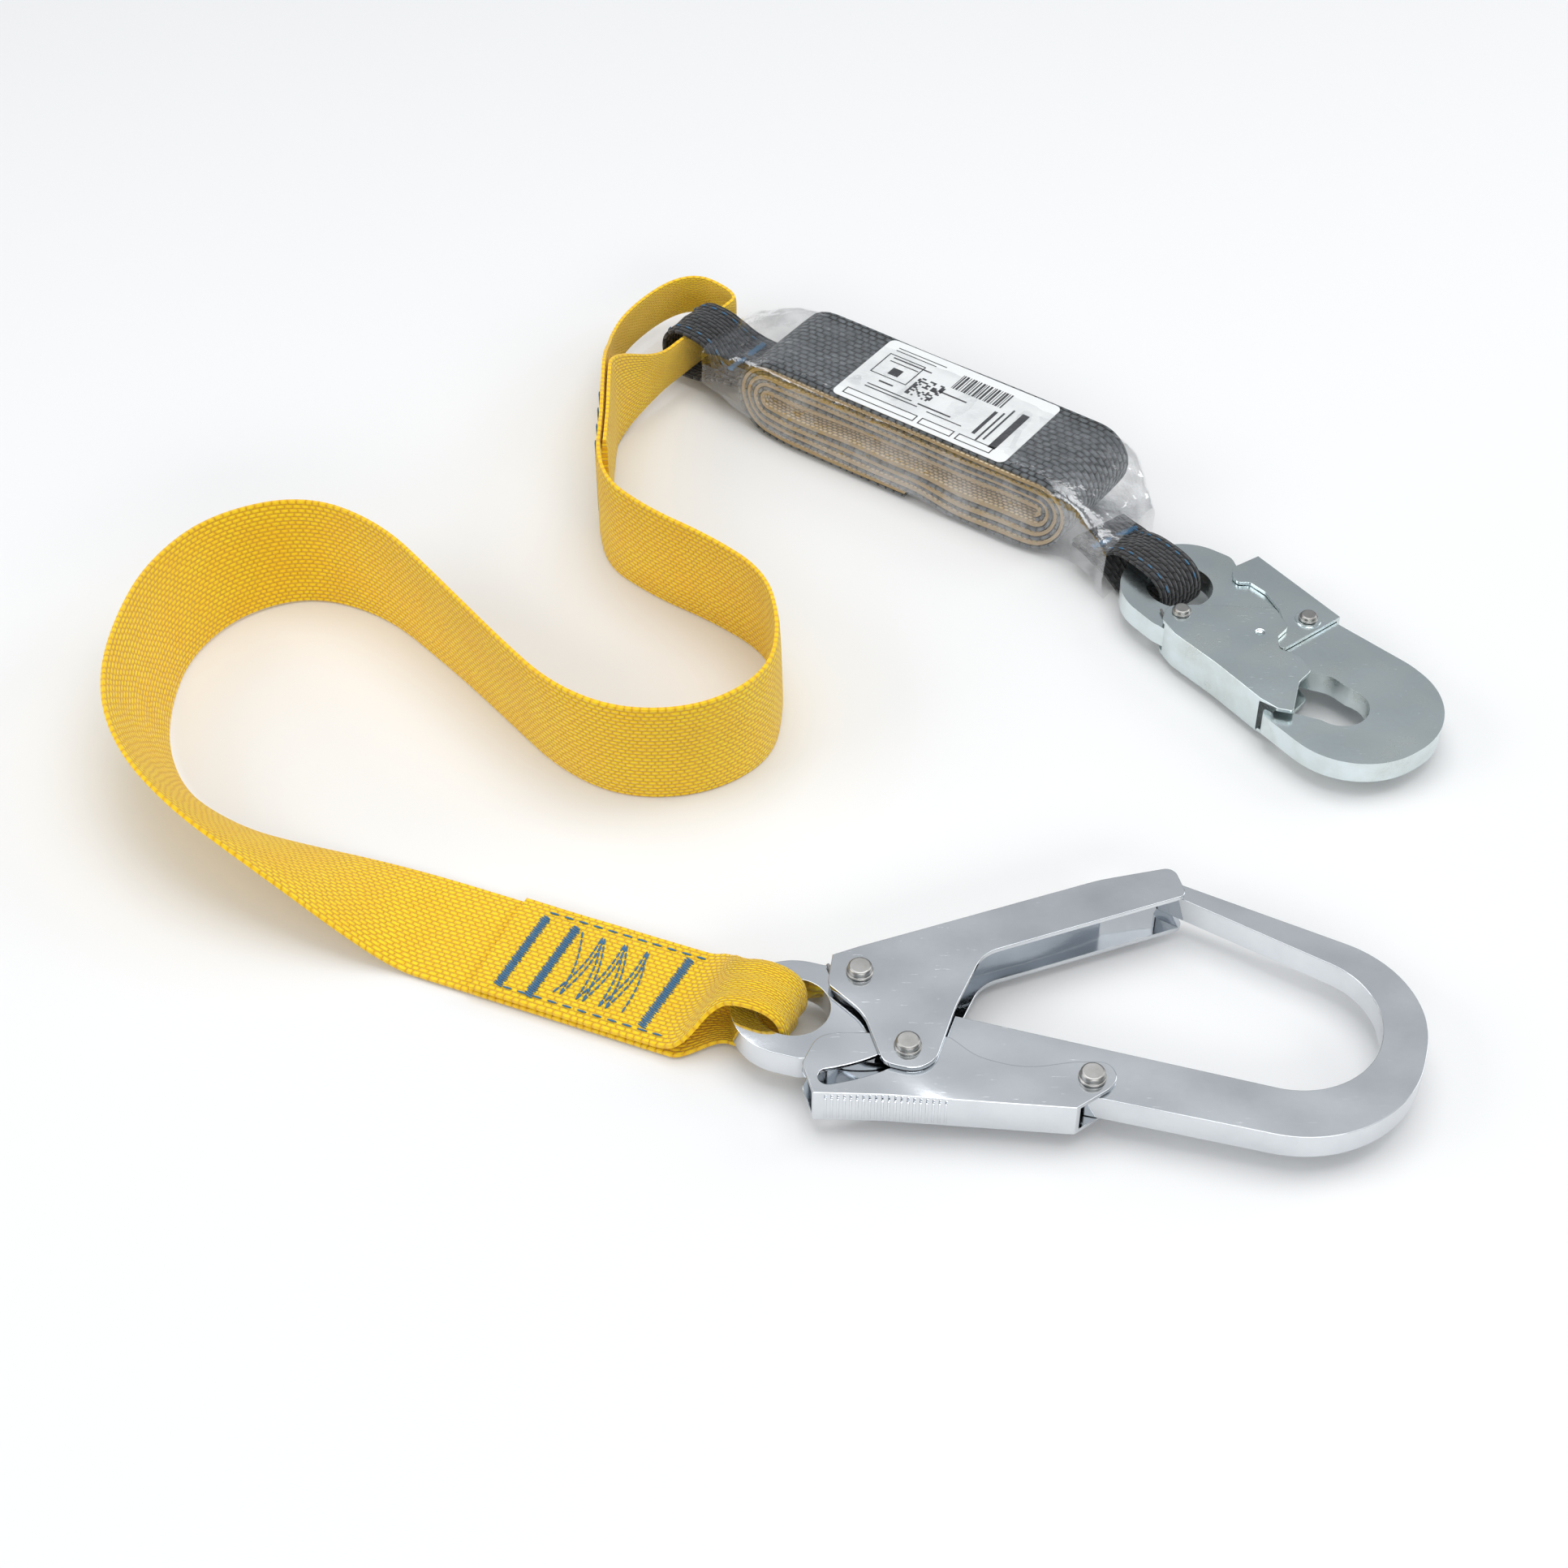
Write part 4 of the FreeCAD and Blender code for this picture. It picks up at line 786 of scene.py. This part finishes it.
def makeLabel(values, top):
    length, width = values["size"]
    place = packPlace @ Matrix.Translation(Vector((values["middle"], 0, top + values["lift"])) * mm)
    bm = bmesh.new()
    bmesh.ops.create_grid(bm, x_segments=1, y_segments=1, size=0.5,
                          matrix=Matrix.Diagonal((length * mm, width * mm, 1, 1)))
    bmesh.ops.bevel(bm, geom=list(bm.verts), offset=values["corner"] * mm, offset_type="OFFSET", segments=5,
                    profile=0.5,
                    affect="VERTICES", clamp_overlap=True, material=-1)
    made = bmesh.ops.extrude_face_region(bm, geom=list(bm.faces))["geom"]
    risen = [g for g in made if isinstance(g, bmesh.types.BMVert)]
    bmesh.ops.translate(bm, vec=(0, 0, values["thickness"] * mm), verts=risen)
    bmesh.ops.recalc_face_normals(bm, faces=bm.faces)
    bmesh.ops.transform(bm, matrix=place, verts=bm.verts)
    addPiece("absorberLabel", bm, finishes["labelWhite"], "absorber", slot="label",
             stands=("absorber_label",))

    bm = bmesh.new()

    def patch(x, y, w, h):
        spot = Matrix.Translation(Vector((x + w / 2, y + h / 2,
                                          values["thickness"] + values["inkLift"])) * mm)
        bmesh.ops.create_grid(bm, x_segments=1, y_segments=1, size=0.5,
                              matrix=place @ spot @ Matrix.Diagonal((w * mm, h * mm, 1, 1)))

    for bar in values["bars"]:
        patch(*bar)
    line = values["boxLine"]
    for x, y, w, h in values["boxes"]:
        patch(x, y, w, line)
        patch(x, y + h - line, w, line)
        patch(x, y + line, line, h - 2 * line)
        patch(x + w - line, y + line, line, h - 2 * line)
    x, y = values["codeAt"]
    reach, k = 0.0, 0
    while reach < values["codeSize"][0]:
        thick = 0.35 + 0.35 * ((k * 7) % 3)
        patch(x + reach, y, thick, values["codeSize"][1])
        reach += thick + 0.35 + 0.3 * ((k * 5) % 4) / 2
        k += 1
    x, y = values["squareAt"]
    cells = values["squareCells"]
    cell = values["squareSize"] / cells
    for i in range(cells):
        for j in range(cells):
            if noise.cell(Vector((i * 3.7, j * 5.3, 1.5))) > 0.02:
                patch(x + i * cell, y + j * cell, cell, cell)
    addPiece("absorberLabelMarks", bm, finishes["labelInk"], "absorber", slot="label")
    print("label laid on the roll")


makeLabel(label, rollTop)

filmSleeve = {
    "wall": 0.25, "around": 56,
    # place along the pack, middle across it, width, lowest and highest
    "rings": [(-104, -2, 38, 7, 26), (-99, -2, 41, 5.5, 28), (-93, -1.5, 44.5, 3.8, 30),
              (-87, -1, 47.5, 2.2, 32), (-82, 0, 49.6, 1.3, 33.4),
              (-76, 0, 50.4, 0.7, 34.1), (-66, 0, 50.6, 0.4, 34.3), (-50, 0, 50.6, 0.4, 34.3),
              (-34, 0, 50.6, 0.4, 34.3), (-18, 0, 50.6, 0.4, 34.3),
              (-2, 0, 50.6, 0.4, 34.3), (14, 0, 50.6, 0.4, 34.3), (30, 0, 50.6, 0.4, 34.3),
              (46, 0, 50.6, 0.4, 34.3),
              (60, 0, 50.6, 0.4, 34.3), (72, 0, 50.6, 0.5, 34.2), (80, -0.5, 50.0, 0.7, 33.4),
              (86, -3, 48.5, 0.9, 32), (92, -7, 45.5, 1.1, 30.2),
              (98, -12, 42.5, 1.3, 28.4), (103, -16.5, 40.5, 1.5, 27.2), (107, -20, 39.5, 1.6, 26.6)],
}


def makeSleeve(values):
    rings = values["rings"]
    along = splinePoints([(x, y, w) for x, y, w, low, high in rings], 4)
    upright = splinePoints([(low, high, 0) for x, y, w, low, high in rings], 4)
    bm = bmesh.new()
    bmesh.ops.create_circle(bm, cap_ends=False, segments=values["around"], radius=1)
    for v in bm.verts:
        c, s = v.co.x, v.co.y
        v.co.x = math.copysign(abs(c) ** 0.32, c) / 2
        v.co.y = math.copysign(abs(s) ** 0.32, s) / 2
    edges = list(bm.edges)
    last = None
    for (x, y, w), (low, high, spare) in zip(along, upright):
        axes = Matrix((Vector((0, w, 0)), Vector((0, 0, high - low)),
                       Vector((1, 0, 0)))).transposed().to_4x4()
        matrix = Matrix.Scale(mm, 4) @ Matrix.Translation((x, y, (low + high) / 2)) @ axes
        if last is None:
            bmesh.ops.transform(bm, matrix=matrix, verts=bm.verts)
        else:
            made = bmesh.ops.extrude_edge_only(bm, edges=edges)["geom"]
            edges = [g for g in made if isinstance(g, bmesh.types.BMEdge)]
            bmesh.ops.transform(bm, matrix=matrix @ last.inverted(),
                                verts=[g for g in made if isinstance(g, bmesh.types.BMVert)])
        last = matrix
    for v in bm.verts:
        p = v.co / mm
        end = blendStep(70, 100, abs(p.x))
        crease = noise.noise(Vector((p.x / 9, p.y / 7, p.z / 9))) * (0.25 + 1.3 * end)
        crease += noise.noise(Vector((p.x / 30, p.y / 5, 3))) * 0.9 * end
        outward = Vector((0, p.y / 25, (p.z - 17) / 17))
        p += outward.normalized() * max(crease, -0.25 - end)
        v.co = settlePack(packPlace @ (p * mm))
        v.co.z = max(v.co.z, 0.1 * mm)
    bmesh.ops.recalc_face_normals(bm, faces=bm.faces)
    bmesh.ops.solidify(bm, geom=list(bm.faces), thickness=values["wall"] * mm)
    addPiece("absorberFilm", bm, finishes["clearFilm"], "absorber", sharp=80, slot="clear_sleeve",
             stands=("absorber_sleeve",))
    print("film sleeve drawn over the roll")


makeSleeve(filmSleeve)


# Metal pieces: the exact parts with their edges rounded as forging, stamping and plating leave them

def roundedPart(name, node, finish, body, slot, width, segments=2, angle=28, pick=None):
    bm = bmesh.new()
    bm.from_mesh(cadNodes[node].data)
    bmesh.ops.remove_doubles(bm, verts=bm.verts, dist=4e-6)
    bmesh.ops.dissolve_limit(bm, angle_limit=math.radians(0.5), verts=bm.verts, edges=bm.edges)
    edges = [e for e in bm.edges if len(e.link_faces) == 2 and e.calc_face_angle(0) > math.radians(angle)]
    edges = [e for e in edges if pick is None or pick(e)]
    if edges and width:
        bmesh.ops.bevel(bm, geom=edges, offset=width * mm, offset_type="OFFSET", segments=segments,
                        profile=0.5, affect="EDGES",
                        clamp_overlap=True, material=-1)
    piece = addPiece(name, bm, finishes[finish], body, sharp=40, slot=slot, stands=(node,))
    flat = piece.modifiers.new("flatFaces", "WEIGHTED_NORMAL")
    flat.keep_sharp = True
    flat.weight = 100
    return piece


largeHook = {
    "leverRivet": (44.238, -215.388), "turn": -16.6, "middle": 12.5, "halfBar": 5.0,
    "barRounding": 2.3, "sheetRounding": 0.45, "rivetRounding": 0.25,
    # x, y and radius of the places where the forged bar keeps its sharp edge
    "keptSharp": [(-84, 21, 11.5), (0, 0, 4)],
    "ribs": 20, "ribStart": (-81, -31.35), "ribRun": 38, "ribRise": 0.2315, "ribTurn": 13,
    "ribSize": (0.85, 1.1, 9.6),
    "ribRounding": 0.2,
}
smallHook = {
    "gateRivet": (97.122, 16.497), "turn": -53.8, "middle": 11.22, "halfBar": 4.5,
    "barRounding": 1.1, "sheetRounding": 0.4, "rivetRounding": 0.2,
    "keptSharp": [(0, 0, 7), (30.5, 37.9, 4)],
}


def onBarEdge(values, place):
    # chooses the long edges of a forged bar, away from its rivets and bosses
    back = place.inverted()

    def pick(edge):
        a, b = (back @ v.co for v in edge.verts)
        if abs(abs(a.z) / mm - values["halfBar"]) > 0.02 or abs(abs(b.z) / mm - values["halfBar"]) > 0.02:
            return False
        middle = (a + b) / 2 / mm
        return all(math.hypot(middle.x - x, middle.y - y) > r for x, y, r in values["keptSharp"])
    return pick


def makeLargeHook(values):
    place = standAt(*values["leverRivet"], values["turn"], values["middle"])
    pick = onBarEdge(values, place)
    roundedPart("largeHookBody", "large_hook_body", "steelBright", "large_hook", "hook_steel",
                values["barRounding"], 4, pick=pick)
    thin = values["sheetRounding"]
    roundedPart("largeHookGate", "large_hook_gate", "steelBright", "large_gate", "hook_steel", thin)
    roundedPart("largeHookLever", "large_hook_lock_lever", "steelBright", "large_lever", "hook_steel", thin)
    for name, node, body in (("largeHookGateRivet", "large_hook_gate_rivet", "large_hook"),
                             ("largeHookPin", "large_hook_lock_pin", "large_gate"),
                             ("largeHookLeverRivet", "large_hook_lever_rivet", "large_hook")):
        roundedPart(name, node, "rivetSatin", body, "rivet_steel", values["rivetRounding"])
    bm = bmesh.new()
    for k in range(values["ribs"]):
        t = k / (values["ribs"] - 1)
        x, y = values["ribStart"]
        spot = Vector((x + values["ribRun"] * t, y + values["ribRun"] * t * values["ribRise"], 0)) * mm
        size = Matrix.Diagonal((*(d * mm for d in values["ribSize"]), 1))
        turn = Matrix.Rotation(math.radians(values["ribTurn"]), 4, "Z")
        bmesh.ops.create_cube(bm, size=1, matrix=place @ Matrix.Translation(spot) @ turn @ size)
    bmesh.ops.bevel(bm, geom=list(bm.edges), offset=values["ribRounding"] * mm, offset_type="OFFSET",
                    segments=2, profile=0.5, affect="EDGES",
                    clamp_overlap=True, material=-1)
    addPiece("largeHookLeverRibs", bm, finishes["steelBright"], "large_lever", slot="hook_steel")
    print("scaffold hook finished")


def makeSmallHook(values):
    place = standAt(*values["gateRivet"], values["turn"], values["middle"])
    pick = onBarEdge(values, place)
    roundedPart("smallHookBody", "small_hook_body", "zincPlate", "small_hook", "zinc_steel",
                values["barRounding"], 3, pick=pick)
    thin = values["sheetRounding"]
    roundedPart("smallHookGate", "small_hook_gate", "zincPlate", "small_gate", "zinc_steel", thin)
    roundedPart("smallHookLock", "small_hook_lock_lever", "zincPlate", "small_lock", "zinc_steel", thin)
    for name, node in (("smallHookGateRivet", "small_hook_gate_rivet"),
                       ("smallHookLockRivet", "small_hook_lock_rivet")):
        roundedPart(name, node, "rivetSatin", "small_hook", "rivet_steel", values["rivetRounding"])
    print("snap hook finished")


makeLargeHook(largeHook)
makeSmallHook(smallHook)
for node in ("large_hook_gate_spring", "large_hook_lever_spring", "small_hook_gate_spring",
             "small_hook_lock_spring"):
    cadNodes[node].data.materials.clear()
    cadNodes[node].data.materials.append(finishes["springWire"])


# Floor and soft studio light

studio = {"floorSize": 4.0, "floorHeight": -0.0005, "world": 0.58, "horizon": (0.10, 0.11, 0.12),
          "lowSky": (0.5, 0.53, 0.56),
          "highSky": (1.2, 1.24, 1.28), "lights": [
    ("skyPanel", (0.1, 0.2, 1.6), (1.6, 1.2), 13), ("leftPanel", (-1.5, -0.3, 0.9), (1.2, 0.8), 8),
    ("rightPanel", (1.4, 0.5, 0.8), (0.9, 0.9), 6), ("frontPanel", (0.3, -1.5, 0.7), (1.4, 0.4), 8)]}


def makeStudio(values):
    bm = bmesh.new()
    bmesh.ops.create_grid(bm, x_segments=1, y_segments=1, size=values["floorSize"] / 2)
    mesh = bpy.data.meshes.new("floor")
    bm.to_mesh(mesh)
    bm.free()
    floor = bpy.data.objects.new("floor", mesh)
    scene.collection.objects.link(floor)
    material, tree, shader = newFinish("paleFloor", Roughness=0.7)
    shader.inputs["Base Color"].default_value = (0.82, 0.82, 0.82, 1)
    mesh.materials.append(material)
    mesh.transform(Matrix.Translation((0, 0, values["floorHeight"])))
    world = bpy.data.worlds.new("studioWorld")
    world.use_nodes = True
    back = world.node_tree.nodes["Background"]
    direction = world.node_tree.nodes.new("ShaderNodeTexCoord").outputs["Generated"]
    split = world.node_tree.nodes.new("ShaderNodeSeparateXYZ")
    link(world.node_tree, direction, split.inputs[0])
    height = spread(world.node_tree, split.outputs["Z"], 0.04, 0.34)
    upper = spread(world.node_tree, split.outputs["Z"], 0.60, 0.80)
    dome = blendColor(world.node_tree, upper, (*values["lowSky"], 1), (*values["highSky"], 1))
    sky = blendColor(world.node_tree, height, (*values["horizon"], 1), dome)
    link(world.node_tree, sky, back.inputs["Color"])
    back.inputs["Strength"].default_value = values["world"]
    scene.world = world
    for name, spot, size, power in values["lights"]:
        data = bpy.data.lights.new(name, "AREA")
        data.shape = "RECTANGLE"
        data.size, data.size_y = size
        data.energy = power
        lamp = bpy.data.objects.new(name, data)
        scene.collection.objects.link(lamp)
        lamp.location = spot
        lamp.rotation_euler = (-Vector(spot)).to_track_quat("-Z", "Y").to_euler()


makeStudio(studio)
scene.view_settings.view_transform = "Standard"
print("studio lit")
